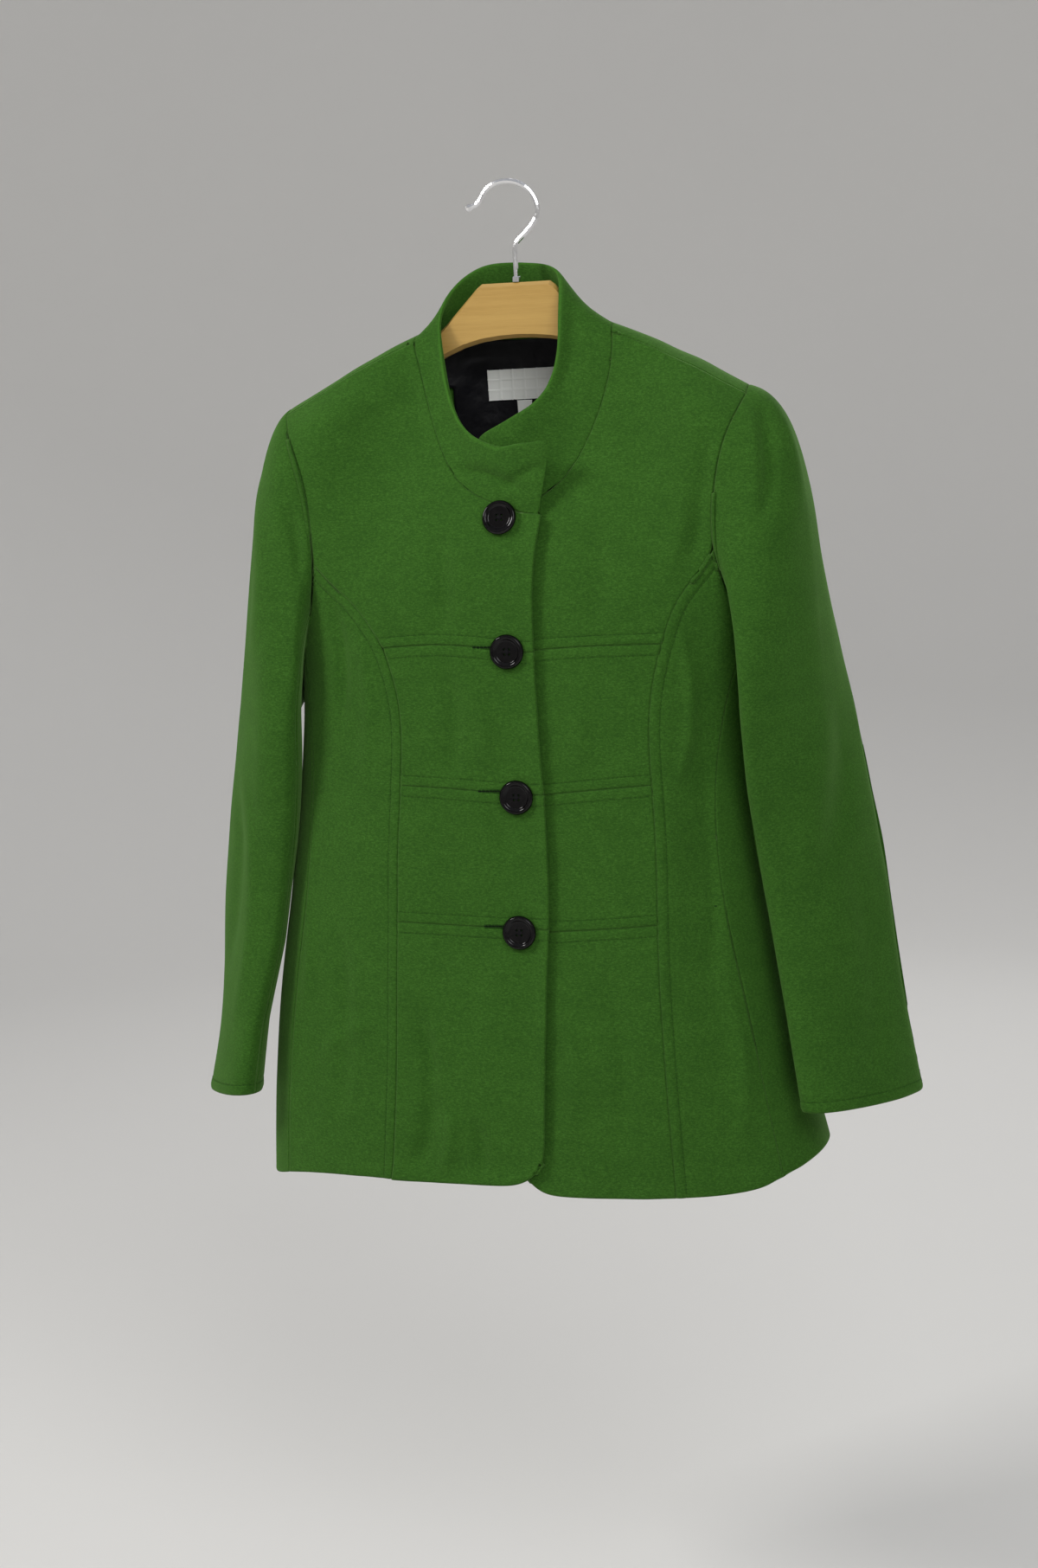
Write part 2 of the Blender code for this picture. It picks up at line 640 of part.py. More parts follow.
def wall(name, grids, thick, material, trim=GAP / 2):
    """A closed wall of cloth: its outer sheet drawn in all round, then thickened inward."""
    places, normals, faces = weld(grids)
    free, before, after = boundary(faces)
    outer = places.copy()
    for v in before:
        arrows = [np.cross(normals[v], unit(places[v] - places[before[v]])),
                  np.cross(normals[v], unit(places[after[v]] - places[v]))]
        arrows = [unit(a) for a in arrows]
        share = 1 + arrows[0].dot(arrows[1])
        pull = (arrows[0] + arrows[1]) / max(share, 0.35)
        outer[v] = places[v] + pull * trim
    inner = outer - normals * thick
    half = len(outer)
    solid = list(faces) + [[v + half for v in loop][::-1] for loop in faces]
    solid += [[b, a, a + half, b + half] for a, b in free]
    return make_object(name, np.concatenate((outer, inner)), solid, material)


def panel(name, side, pieces, thick=CLOTH, material="melton"):
    """One cut piece of cloth, from its patches of (face, grid) on the skin."""
    return wall(name, [lay(side, face, grid) for face, grid in pieces], thick, material)


# ---------------------------------------------------------------- the fronts

def cross_line(side, index, inner, outer, count):
    """The turn and run of points along a seam across a centre front."""
    line = []
    for k in range(count + 1):
        across = inner + (outer - inner) * k / count
        line.append(at(side, across, cross_drop(side, index, across)))
    return line


def edge_across(side, index):
    """Where a cross seam meets the free edge and the princess seam."""
    inner = -look(FRONT_EDGE, "drop", side, CROSS_SEAMS[side][index][0] * MM)
    outer = look(PRINCESS, "drop", side, CROSS_SEAMS[side][index][1] * MM)
    return inner, outer


def drops_between(first, last, count):
    return [first + (last - first) * k / count for k in range(count + 1)]


def princess_rows(side):
    """The princess seam's rows, from the hem up: skirt, middle parts, yoke."""
    levels = [outer * MM for inner, outer, arch in CROSS_SEAMS[side]]
    hem = hem_drop(side, "front", look(PRINCESS, "drop", side, HEM_DROP))
    skirt = princess_line(side, drops_between(hem, levels[2], SKIRT_ROWS))
    lower = princess_line(side, drops_between(levels[2], levels[1], MIDDLE_ROWS))
    upper = princess_line(side, drops_between(levels[1], levels[0], MIDDLE_ROWS))
    dense = [(look(PRINCESS, "drop", side, d), d)
             for d in drops_between(levels[0], JUNCTION_DROP, 24)]
    yoke = [at(side, a, d) for a, d in spread(dense, YOKE_ROWS)]
    yoke[-1] = armhole()[0][-1]
    return skirt, lower, upper, yoke


def yoke_part(side):
    princess = princess_rows(side)[3]
    top = armhole()[0][::-1]
    outer = princess + top[1:]
    inner_x, outer_x = edge_across(side, 0)
    edge_rows = len(outer) - 1 - NECK_FRONT_ROWS
    start = cross_drop(side, 0, inner_x)
    drops = drops_between(start, front_neck_drop(side), edge_rows)
    neck = neck_line(side, NECK_FRONT_ROWS)
    inner = edge_line(side, drops)
    inner[-1] = neck[0]
    inner += neck[1:]
    foot = cross_line(side, 0, inner_x, outer_x, COLS)
    foot[0], foot[-1] = inner[0], outer[0]
    crown = between(inner[-1], outer[-1], COLS)
    return coons(inner, outer, foot, crown)


def middle_part(side, upper_index):
    """The part of a centre front between two cross seams."""
    rows = princess_rows(side)
    outer = rows[2] if upper_index == 0 else rows[1]
    high = cross_line(side, upper_index, *edge_across(side, upper_index), COLS)
    low = cross_line(side, upper_index + 1, *edge_across(side, upper_index + 1), COLS)
    starts = [cross_drop(side, i, -20 * MM) for i in (upper_index + 1, upper_index)]
    inner = edge_line(side, drops_between(starts[0], starts[1], MIDDLE_ROWS))
    inner[0], inner[-1] = low[0], high[0]
    low[-1], high[-1] = outer[0], outer[-1]
    return coons(inner, outer, low, high)


def skirt_part(side):
    """The lowest part of a centre front, with its rounded corner."""
    outer = princess_rows(side)[0]
    high = cross_line(side, 2, *edge_across(side, 2), COLS)
    high[-1] = outer[-1]
    foot_drop = hem_drop(side, "front", 0.0)
    edge = -look(FRONT_EDGE, "drop", side, foot_drop - HEM_CORNER)
    centre = np.array((edge + HEM_CORNER, foot_drop - HEM_CORNER))

    def arc(degrees):
        angle = math.radians(degrees)
        return centre + HEM_CORNER * np.array((-math.cos(angle), math.sin(angle)))

    upright = drops_between(foot_drop - HEM_CORNER, cross_drop(side, 2, -20 * MM),
                            SKIRT_ROWS - 2)
    inner = [at(side, *arc(a)) for a in (45, 22.5)] + edge_line(side, upright)
    inner[2] = at(side, *arc(0))
    inner[-1] = high[0]
    level = [arc(a) for a in (45, 67.5, 90)]
    end = look(PRINCESS, "drop", side, HEM_DROP)
    for k in range(1, COLS - 1):
        across = level[2][0] + (end - level[2][0]) * k / (COLS - 2)
        level.append(np.array((across, hem_drop(side, "front", across))))
    foot = [at(side, a, d) for a, d in level]
    foot[-1] = outer[0]
    return coons(inner, outer, foot, high)


def side_seam_rows(side):
    """The side seam from the hem up to the armhole."""
    total = SKIRT_ROWS + 2 * MIDDLE_ROWS + YOKE_ROWS - ARMHOLE_SIDE_ROWS
    top_turn, top_run = armhole()[1][-1]
    top_drop, _ = place(side, top_turn, top_run)
    turn = smooth(SIDE_SEAM["drop"], SIDE_SEAM[side], HEM_DROP / MM)
    across = look(BODY, "drop", side, HEM_DROP) * math.sin(math.radians(turn))
    hem = hem_drop(side, "front", across)
    line = side_line(side, drops_between(hem, top_drop, total))
    line[-1] = (top_turn, top_run)
    return line


def side_front(side):
    inner = []
    for rows in princess_rows(side):
        inner += rows if not inner else rows[1:]
    outer = side_seam_rows(side)
    for k, (turn, run) in enumerate(outer):
        drop, _ = place(side, turn, run)
        if POCKET_TOP < drop < POCKET_FOOT:
            outer[k] = (turn - POCKET_TURN, run)
    outer += armhole()[1][::-1][1:]
    start, end = inner[0], outer[0]
    foot = []
    for k in range(SIDE_COLS + 1):
        turn = start[0] + (end[0] - start[0]) * k / SIDE_COLS
        across = look(BODY, "drop", side, HEM_DROP) * math.sin(math.radians(turn))
        foot.append((turn, at(side, across, hem_drop(side, "front", across))[1]))
    foot[0], foot[-1] = start, end
    crown = [outer[-1]] * (SIDE_COLS + 1)
    return coons(inner, outer, foot, crown)


# ---------------------------------------------------------------- the backs

def seen_from_back(line):
    """A line of turns from the centre front as turns from the centre back."""
    return [(180 - turn, run) for turn, run in line]


def back_parts(side):
    """The back in two patches: below the armhole, and beside it up to the shoulder."""
    under, climb = armhole()[2:]
    outer = seen_from_back(side_seam_rows(side))
    neck = neck_back_line(side)
    high = climb[0]
    levels = drops_between(hem_drop(side, "back", 0.0), BACK_SPLIT, len(outer) - 1)
    centre = [at(side, 0.0, d) for d in levels]
    foot = []
    wide = COLS + ARMHOLE_UNDER_COLS
    for k in range(wide + 1):
        turn = outer[0][0] * k / wide
        across = look(BODY, "drop", side, HEM_BACK_DROP) * math.sin(math.radians(turn))
        foot.append((turn, at(side, across, hem_drop(side, "back", across))[1]))
    foot[-1] = outer[0]
    split = between(centre[-1], seen_from_back([high])[0], COLS)
    lower_patch = coons(centre, outer, foot, split + seen_from_back(under[::-1])[1:])
    inner = [at(side, 0.0, d) for d in BACK_LEVELS] + neck
    edge = seen_from_back(climb)
    upper_patch = coons(inner, edge, split, between(inner[-1], edge[-1], COLS))
    return lower_patch, upper_patch


def build_body():
    for side in SIDES:
        panel(side + "_front_yoke", side, [("front", yoke_part(side))])
        panel(side + "_front_upper_middle", side, [("front", middle_part(side, 0))])
        panel(side + "_front_lower_middle", side, [("front", middle_part(side, 1))])
        panel(side + "_front_skirt", side, [("front", skirt_part(side))])
        panel(side + "_side_front", side, [("front", side_front(side))])
        panel(side + "_back", side, [("back", p) for p in back_parts(side)])


# ---------------------------------------------------------------- the sleeves

def sleeve_ring(side, drop, rounds):
    """Points of one oval section of the sleeve, at each angle round the tube."""
    tab = SLEEVE[side]
    x, y, long, short, turn = (smooth(tab["drop"], tab[n], drop)
                               for n in ("x", "y", "long", "short", "turn"))
    turn = math.radians(turn)
    middle = np.array((x, y))
    out = np.array((math.sin(turn), -math.cos(turn)))
    front = np.array((-math.cos(turn), -math.sin(turn)))
    ring = []
    for degrees in rounds:
        angle = math.radians(degrees)
        flat = middle + out * short * math.cos(angle) + front * long * math.sin(angle)
        ring.append((flat[0] * SIDES[side] * MM, flat[1] * MM, -drop * MM))
    return np.array(ring)


def armhole_loop(side):
    """The armhole's points, the way out of the body and the body's normal at each."""
    top, lower, under, climb = armhole()
    turns = top + lower[1:] + under[1:] + climb[1:]
    points, normals = [], []
    for turn, run in turns[:-1]:
        point, normal = cloth(side, "front", turn, run)
        points.append(point)
        normals.append(normal)
    return np.array(points), np.array(normals)


def sleeve_rounds(points, under):
    """The angle round the tube of each armhole point, even along the armhole."""
    closed = np.vstack((points, points[:1]))
    lengths = np.r_[0, np.cumsum(np.linalg.norm(np.diff(closed, axis=0), axis=1))]
    rounds = []
    for k in range(len(points)):
        if k <= under:
            rounds.append(180 * lengths[k] / lengths[under])
        else:
            rounds.append(180 + 180 * (lengths[k] - lengths[under])
                          / (lengths[-1] - lengths[under]))
    return rounds


def sleeve_fold(side, degrees, drop):
    total = 0.0
    for fold_side, top, foot, drop_top, drop_foot, half, height in SLEEVE_FOLDS:
        share = (drop - drop_top) / (drop_foot - drop_top)
        if fold_side != side or not 0 < share < 1:
            continue
        middle = top + (foot - top) * share
        away = (degrees - middle + 180) % 360 - 180
        total += height * MM * math.sin(math.pi * share) * math.exp(-(away / half) ** 2)
    return total


def sleeve_grid(side):
    """Outer points of the whole sleeve, its normals, and the angles of its columns."""
    start, normals = armhole_loop(side)
    count = len(start)
    tangents = np.roll(start, -1, axis=0) - np.roll(start, 1, axis=0)
    away = np.cross(tangents, normals)
    away /= np.linalg.norm(away, axis=1)[:, None]
    middle = start.mean(axis=0)
    for k in range(count):
        if np.dot(away[k], middle - start[k]) < 0:
            away[k] = -away[k]
    start = start + (away * 0.9 + normals) * GAP
    under = int(np.argmin(start[:, 2]))
    rounds = sleeve_rounds(start, under)
    first = sleeve_ring(side, SLEEVE_TOP, rounds)
    below = sleeve_ring(side, SLEEVE_TOP + 10, rounds)
    rows = []
    for t in SLEEVE_REACH:
        ring = []
        for k, degrees in enumerate(rounds):
            leave = np.array([smooth(SLEEVE_START["round"], SLEEVE_START[n], degrees)
                              for n in ("out", "forward", "down")]) * MM
            leave = np.array((leave[0] * SIDES[side] * SLEEVE_FULL[side], -leave[1], -leave[2]))
            drift = (below[k] - first[k]) / (10 * MM)
            arrive = drift * (start[k][2] - first[k][2])
            h = (2 * t ** 3 - 3 * t ** 2 + 1, t ** 3 - 2 * t ** 2 + t,
                 -2 * t ** 3 + 3 * t ** 2, t ** 3 - t ** 2)
            ring.append(h[0] * start[k] + h[1] * leave + h[2] * first[k] + h[3] * arrive)
        rows.append(np.array(ring))
    for drop in SLEEVE_ROWS:
        rows.append(sleeve_ring(side, drop, rounds))
    grid = np.array(rows)
    depth = grid.shape[0]
    for i in range(1, depth):
        share = ease(i / (depth - 1))
        grid[i, :, 2] -= SLEEVE_HANG[side] * share
        grid[i, :, 2] += CUFF_RISE[side] * share * np.sin(np.radians(rounds))
    shell_normals = grid_normals(grid, side)
    for i in range(1, depth - 1):
        for k in range(count):
            rise = sleeve_fold(side, rounds[k], -grid[i, k, 2] / MM)
            grid[i, k] += shell_normals[i, k] * rise
    return grid, grid_normals(grid, side), rounds


def grid_normals(grid, side):
    """Outward normals of a tube of points, from its neighbours."""
    rows, count = grid.shape[:2]
    normals = np.empty_like(grid)
    for i in range(rows):
        down = grid[min(i + 1, rows - 1)] - grid[max(i - 1, 0)]
        middle = grid[i].mean(axis=0)
        for k in range(count):
            around = grid[i, (k + 1) % count] - grid[i, (k - 1) % count]
            normal = unit(np.cross(down[k], around))
            normals[i, k] = -SIDES[side] * normal
    return normals


def build_sleeves():
    for side in SIDES:
        grid, normals, rounds = sleeve_grid(side)
        count = len(rounds)
        front = int(np.argmin([abs(r - FRONT_SLEEVE_SEAM) for r in rounds]))
        back = int(np.argmin([abs(r - BACK_SLEEVE_SEAM) for r in rounds]))
        under = list(range(front, back + 1))
        top = list(range(back, count)) + list(range(0, front + 1))
        for name, columns in (("top_sleeve", top), ("under_sleeve", under)):
            strip = (grid[:, columns], normals[:, columns])
            wall(side + "_" + name, [strip], CLOTH, "melton")


# ---------------------------------------------------------------- the collar

def collar_line():
    """Neck seam from the right front edge to the left: station, place and normal."""
    line = []
    for side in SIDES:
        front = [(("front",) + p) for p in neck_line(side, NECK_FRONT_ROWS)]
        back = [(("back",) + p) for p in neck_back_line(side)][::-1]
        placed = [cloth(side, *p) for p in front + back[1:]]
        points = np.array([p for p, _ in placed])
        lengths = np.r_[0, np.cumsum(np.linalg.norm(np.diff(points, axis=0), axis=1))]
        shoulder = lengths[NECK_FRONT_ROWS]
        rest = lengths[-1] - shoulder
        rows = [(SIDES[side] * (2 - l / shoulder if l <= shoulder
                                else 1 - (l - shoulder) / rest), p, n)
                for l, (p, n) in zip(lengths, placed)]
        line += rows if side == "right" else rows[::-1][1:]
    return line


def collar_grid():
    """Outer points of the collar, the cloth's edge it is sewn to, and the way in there."""
    line = collar_line()
    feet = np.array([point for _, point, _ in line])
    edge_normals = np.array([normal for _, _, normal in line])
    away = np.empty_like(feet)
    for k in range(len(line)):
        along = feet[min(k + 1, len(line) - 1)] - feet[max(k - 1, 0)]
        away[k] = unit(np.cross(along, edge_normals[k]))
    rows = []
    for i in range(COLLAR_ROWS + 1):
        v = i / COLLAR_ROWS
        row = []
        for k, (station, point, normal) in enumerate(line):
            rim = np.array([smooth(RIM["station"], RIM[n], station) * MM
                            for n in ("x", "y", "drop")]) * (1, 1, -1)
            foot = point + away[k] * GAP
            inward = unit(np.array((0.0, -5 * MM, foot[2])) - foot)
            hollow = smooth(COLLAR_HOLLOW["station"], COLLAR_HOLLOW["inward"], station) * MM
            row.append(foot + (rim - foot) * v + inward * hollow * math.sin(math.pi * v))
        rows.append(row)
    return np.array(rows), feet, away


def strip_normals(grid):
    """Normals of an open strip of points that face away from the neck."""
    rows, cols = grid.shape[:2]
    normals = np.empty_like(grid)
    for i in range(rows):
        for j in range(cols):
            up = grid[min(i + 1, rows - 1), j] - grid[max(i - 1, 0), j]
            along = grid[i, min(j + 1, cols - 1)] - grid[i, max(j - 1, 0)]
            normals[i, j] = unit(np.cross(up, along))
    return normals


def clear_foot(sheet, grid, feet, away):
    """Lift the foot of a collar layer where it would run into the cloth's edge."""
    lifted = sheet.copy()
    for k in range(len(feet)):
        up = unit(grid[1, k] - grid[0, k])
        short = GAP - (sheet[0, k] - feet[k]).dot(away[k])
        slope = up.dot(away[k])
        if short > 0 and slope > 0.3:
            lifted[0, k] += up * short / slope
    return lifted


def layer(name, grid, normals, feet, away, start, thick):
    """One layer of the collar, from a depth below its outer face."""
    outer = clear_foot(grid - normals * start, grid, feet, away)
    inner = clear_foot(grid - normals * (start + thick), grid, feet, away)
    rows, cols = outer.shape[:2]
    half = rows * cols
    faces = []
    for i in range(rows - 1):
        for j in range(cols - 1):
            a = i * cols + j
            for loop in ((a, a + 1, a + cols + 1), (a, a + cols + 1, a + cols)):
                faces.append(loop)
                faces.append(tuple(v + half for v in loop[::-1]))
    rim = [(i, 0) for i in range(rows)][::-1] + [(0, j) for j in range(1, cols)]
    rim += [(i, cols - 1) for i in range(1, rows)]
    rim += [(rows - 1, j) for j in range(cols - 2, 0, -1)]
    for k, spot in enumerate(rim):
        a, b = (i * cols + j for i, j in (rim[k - 1], spot))
        faces.append((b, a, a + half, b + half))
    make_object(name, np.concatenate((outer.reshape(-1, 3), inner.reshape(-1, 3))), faces,
                "melton")


def build_collar():
    grid, feet, away = collar_grid()
    normals = strip_normals(grid)
    layer("collar_outer", grid, normals, feet, away, 0.0, COLLAR_CLOTH)
    layer("collar_inner", grid, normals, feet, away, COLLAR_CLOTH + GAP, COLLAR_CLOTH)


# ---------------------------------------------------------------- inside the back neck

def patch_on(name, backing, spot, cells):
    """A small patch of label cloth that lies on the inside of another piece."""
    cols, rows = cells
    tree = BVHTree.FromPolygons([v.co for v in backing.data.vertices],
                                [tuple(p.vertices) for p in backing.data.polygons])
    outer = np.empty((rows + 1, cols + 1, 3))
    normals = np.zeros_like(outer)
    normals[:, :, 1] = 1.0
    for j in range(cols + 1):
        x = spot["left"] + (spot["right"] - spot["left"]) * j / cols
        for i in range(rows + 1):
            drop = spot["foot"] + (spot["top"] - spot["foot"]) * i / rows
            hit, _, _, _ = tree.ray_cast(Vector((x, 0, TILT * x - drop)), Vector((0, 1, 0)))
            outer[i, j] = (x, hit.y - LABEL_CLEAR, hit.z)
    return wall(name, [(outer, normals)], LABEL_CLOTH, "label", trim=0.0)


def build_inside():
    depth = CLOTH + GAP
    grids = []
    for side in SIDES:
        grid = back_parts(side)[1]
        points, normals = lay(side, "back", grid[:LINING_ROWS + 1, :LINING_COLS + 1])
        grids.append((points - normals * depth, normals))
    lining = wall("back_neck_lining", grids, LINING, "lining")
    patch_on("label", lining, LABEL, LABEL_CELLS)
    patch_on("size_tab", lining, TAB, TAB_CELLS)


# ---------------------------------------------------------------- buttons

def button_mesh(name):
    """A dished button with a raised rim and four thread holes, its back at z = 0."""
    shape = bmesh.new()
    profile = [shape.verts.new((r * MM, 0.0, h * MM))
               for r, h in zip(BUTTON_PROFILE["radius"], BUTTON_PROFILE["height"])]
    edges = [shape.edges.new((a, b)) for a, b in zip(profile[:-1], profile[1:])]
    bmesh.ops.spin(shape, geom=profile + edges, axis=(0, 0, 1), cent=(0, 0, 0),
                   steps=BUTTON_SEGMENTS, angle=2 * math.pi, use_duplicate=False)
    bmesh.ops.remove_doubles(shape, verts=shape.verts, dist=1e-6)
    bmesh.ops.recalc_face_normals(shape, faces=shape.faces)
    mesh = bpy.data.meshes.new(name)
    shape.to_mesh(mesh)
    shape.free()
    mesh.materials.append(bpy.data.materials["button"])
    return mesh


def hole_cutter():
    shape = bmesh.new()
    for k in range(4):
        angle = math.radians(45 + 90 * k)
        spot = Vector((math.cos(angle), math.sin(angle), 0)) * BUTTON_HOLE_SPREAD
        made = bmesh.ops.create_cone(shape, cap_ends=True, segments=8, depth=8 * MM,
                                     radius1=BUTTON_HOLE_RADIUS, radius2=BUTTON_HOLE_RADIUS)
        bmesh.ops.translate(shape, verts=made["verts"], vec=spot)
    mesh = bpy.data.meshes.new("button_hole_guide")
    shape.to_mesh(mesh)
    shape.free()
    guide = bpy.data.objects.new("button_hole_guide", mesh)
    bpy.context.collection.objects.link(guide)
    guide.hide_render = True
    guide.display_type = "WIRE"
    return guide


def bored_button(name, guide):
    """The button's mesh with its holes cut, as a plain mesh."""
    blank = bpy.data.objects.new("button_blank", button_mesh(name))
    bpy.context.collection.objects.link(blank)
    cut = blank.modifiers.new("holes", "BOOLEAN")
    cut.operation = "DIFFERENCE"
    cut.object = guide
    ready = blank.evaluated_get(bpy.context.evaluated_depsgraph_get())
    mesh = bpy.data.meshes.new_from_object(ready)
    bpy.data.objects.remove(blank)
    shape = bmesh.new()
    shape.from_mesh(mesh)
    bmesh.ops.triangulate(shape, faces=shape.faces)
    shape.to_mesh(mesh)
    shape.free()
    mesh.set_sharp_from_angle(angle=math.radians(35))
    return mesh


def build_buttons():
    guide = hole_cutter()
    mesh = bored_button("coat_button", guide)
    bpy.data.objects.remove(guide)
    for number, (across, drop, stand) in enumerate(BUTTONS, 1):
        turn, run = at("right", across * -1 * MM, drop * MM)
        point, normal = cloth("right", "front", turn, run)
        axis = Vector(normal)
        piece = bpy.data.objects.new("button_%d" % number, mesh)
        piece.rotation_mode = "QUATERNION"
        piece.rotation_quaternion = axis.to_track_quat("Z", "X")
        piece.location = Vector(point) + axis * stand * MM
        bpy.context.collection.objects.link(piece)


# ---------------------------------------------------------------- the hanger

def bar_top(across):
    """Drop of the bar's top: its own outline in the neck, then along under the cloth."""
    under_cloth = ridge_drop(across) + BAR_CLEAR
    own = np.interp(across / MM, BAR_TOP["across"], BAR_TOP["drop"]) * MM
    return own + (under_cloth - own) * ease((across - 88 * MM) / (12 * MM))


def build_bar():
    """The wooden bar: flat stock cut to outline and bent gently forward."""
    rows = [-s * MM for s in BAR_STATIONS[::-1]] + [s * MM for s in BAR_STATIONS[1:]]
    rings = []
    half = HANGER_THICK / 2
    for offset in rows:
        across = abs(offset)
        centre = section("left", ridge_drop(across))[1]
        middle = BAR_MIDDLE + (centre - BAR_MIDDLE) * ease(across / (80 * MM))
        x = middle + offset
        y = -10 * MM * (across / (200 * MM)) ** 2
        high = -bar_top(across) + TILT * x * ease(across / (80 * MM))
        low = -look(BAR_FOOT, "across", "drop", across) + TILT * x * ease(across / (80 * MM))
        shrink = BAR_END_SHRINK if across >= BAR_END - 0.5 * MM else 0.0
        high -= shrink
        low += shrink
        thick = half - shrink
        flat = min(BAR_FLAT, thick)
        rings.append(((x, y - flat, high), (x, y + flat, high),
                      (x, y + thick, high - BAR_CHAMFER), (x, y + thick, low + BAR_CHAMFER),
                      (x, y + flat, low), (x, y - flat, low),
                      (x, y - thick, low + BAR_CHAMFER), (x, y - thick, high - BAR_CHAMFER)))
    verts = [v for ring in rings for v in ring]
    sides = len(rings[0])
    faces = [tuple(range(sides))[::-1], tuple(range(len(verts) - sides, len(verts)))]
    for i in range(len(rings) - 1):
        for k in range(sides):
            m = (k + 1) % sides
            faces.append((i * sides + k, i * sides + m, (i + 1) * sides + m,
                          (i + 1) * sides + k))
    make_object("hanger_bar", verts, faces, "wood")


def turned(name, profile, steps, material, spot):
    """A turned part on an upright axis; the profile closes on itself."""
    verts, faces = [], []
    count = len(profile["radius"])
    for k in range(steps):
        angle = 2 * math.pi * k / steps
        for r, d in zip(profile["radius"], profile["drop"]):
            verts.append((spot + r * MM * math.cos(angle), r * MM * math.sin(angle), -d * MM))
    for k in range(steps):
        m = (k + 1) % steps
        for i in range(count):
            j = (i + 1) % count
            faces.append((k * count + i, m * count + i, m * count + j, k * count + j))
    make_object(name, verts, faces, material)


def build_hook():
    """Bent wire with a ball on its tip, one closed body."""
    points = spread(list(zip(HOOK_LINE["x"], HOOK_LINE["drop"])), HOOK_STEPS) * MM
    line = [np.array((x, 0.0, -d)) for x, d in points]
    sides = HOOK_SIDES
    verts, faces = [], []
    start = line[0]
    first = unit(line[0] - line[1])
    ball = [(first * HOOK_TIP_RADIUS * h, HOOK_TIP_RADIUS * w)
            for h, w in ((1.85, 0.35), (1.6, 0.78), (1.0, 1.0), (0.4, 0.80))]
    stations = [(start + shift, radius) for shift, radius in ball] + [(p, WIRE_RADIUS) for p in line]
    for i, (spot, radius) in enumerate(stations):
        before = stations[max(i - 1, 0)][0]
        after = stations[min(i + 1, len(stations) - 1)][0]
        way = unit(after - before)
        across = np.array((0.0, 1.0, 0.0))
        upward = unit(np.cross(way, across))
        for k in range(sides):
            angle = 2 * math.pi * k / sides
            verts.append(spot + (across * math.cos(angle) + upward * math.sin(angle)) * radius)
    for i in range(len(stations) - 1):
        for k in range(sides):
            m = (k + 1) % sides
            faces.append((i * sides + k, i * sides + m, (i + 1) * sides + m,
                          (i + 1) * sides + k))
    faces.append(tuple(range(sides))[::-1])
    faces.append(tuple(range(len(verts) - sides, len(verts))))
    make_object("hook", verts, faces, "steel")
    turned("ferrule", FERRULE, FERRULE_SEGMENTS, "steel", FERRULE_X)


# ---------------------------------------------------------------- the part

def clear_scene():
    for piece in list(bpy.data.objects):
        bpy.data.objects.remove(piece)


def make_materials():
    for name, (colour, rough, metal) in COLOURS.items():
        material = bpy.data.materials.new(name)
        material.use_nodes = True
        shader = material.node_tree.nodes["Principled BSDF"]
        shader.inputs["Base Color"].default_value = (*colour, 1.0)
        shader.inputs["Roughness"].default_value = rough
        shader.inputs["Metallic"].default_value = metal


clear_scene()
make_materials()
build_body()
build_sleeves()
build_collar()
build_inside()
build_buttons()
build_bar()
build_hook()
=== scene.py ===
"""Looks of a green woollen coat on its wooden hanger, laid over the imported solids.

Every cloth piece becomes a fine shell on its own solid, with rolled edges, soft creases and
rows of topstitching. Buttons, hanger and hook keep their solids and get their finishes.
The panel in the 3D view's sidebar lists the same steps for use by hand.
"""

import functools
import math

import bmesh
import bpy
import numpy as np
from bpy.props import FloatProperty, FloatVectorProperty, PointerProperty
from mathutils import Matrix, Vector
from mathutils.bvhtree import BVHTree


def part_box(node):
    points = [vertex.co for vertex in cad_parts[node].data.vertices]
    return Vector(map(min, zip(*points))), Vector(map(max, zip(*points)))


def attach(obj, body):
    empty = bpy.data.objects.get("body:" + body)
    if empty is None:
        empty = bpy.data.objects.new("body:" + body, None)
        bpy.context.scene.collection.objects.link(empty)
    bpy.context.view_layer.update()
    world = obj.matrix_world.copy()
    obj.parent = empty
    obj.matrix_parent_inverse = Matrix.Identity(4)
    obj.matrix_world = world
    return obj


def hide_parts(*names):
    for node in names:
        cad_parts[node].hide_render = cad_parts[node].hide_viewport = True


bl_info = {
    "name": "Woollen coat on a hanger",
    "version": (1, 0, 0),
    "blender": (4, 5, 0),
    "location": "View3D > Sidebar > Coat",
    "description": "Cloth, stitching, buttons, hanger and studio of a melton coat",
    "category": "Object",
}

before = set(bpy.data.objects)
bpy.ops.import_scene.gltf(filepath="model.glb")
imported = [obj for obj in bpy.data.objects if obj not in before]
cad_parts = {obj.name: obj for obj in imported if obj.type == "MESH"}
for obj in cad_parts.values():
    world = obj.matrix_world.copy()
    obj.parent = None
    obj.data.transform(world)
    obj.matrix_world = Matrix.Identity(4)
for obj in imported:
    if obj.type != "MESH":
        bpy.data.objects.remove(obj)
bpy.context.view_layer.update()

MM = 0.001


def table(columns, rows):
    """A short table as one list of dictionaries with named columns."""
    return [dict(zip(columns, row)) for row in rows]


# ---------------------------------------------------------------- sizes

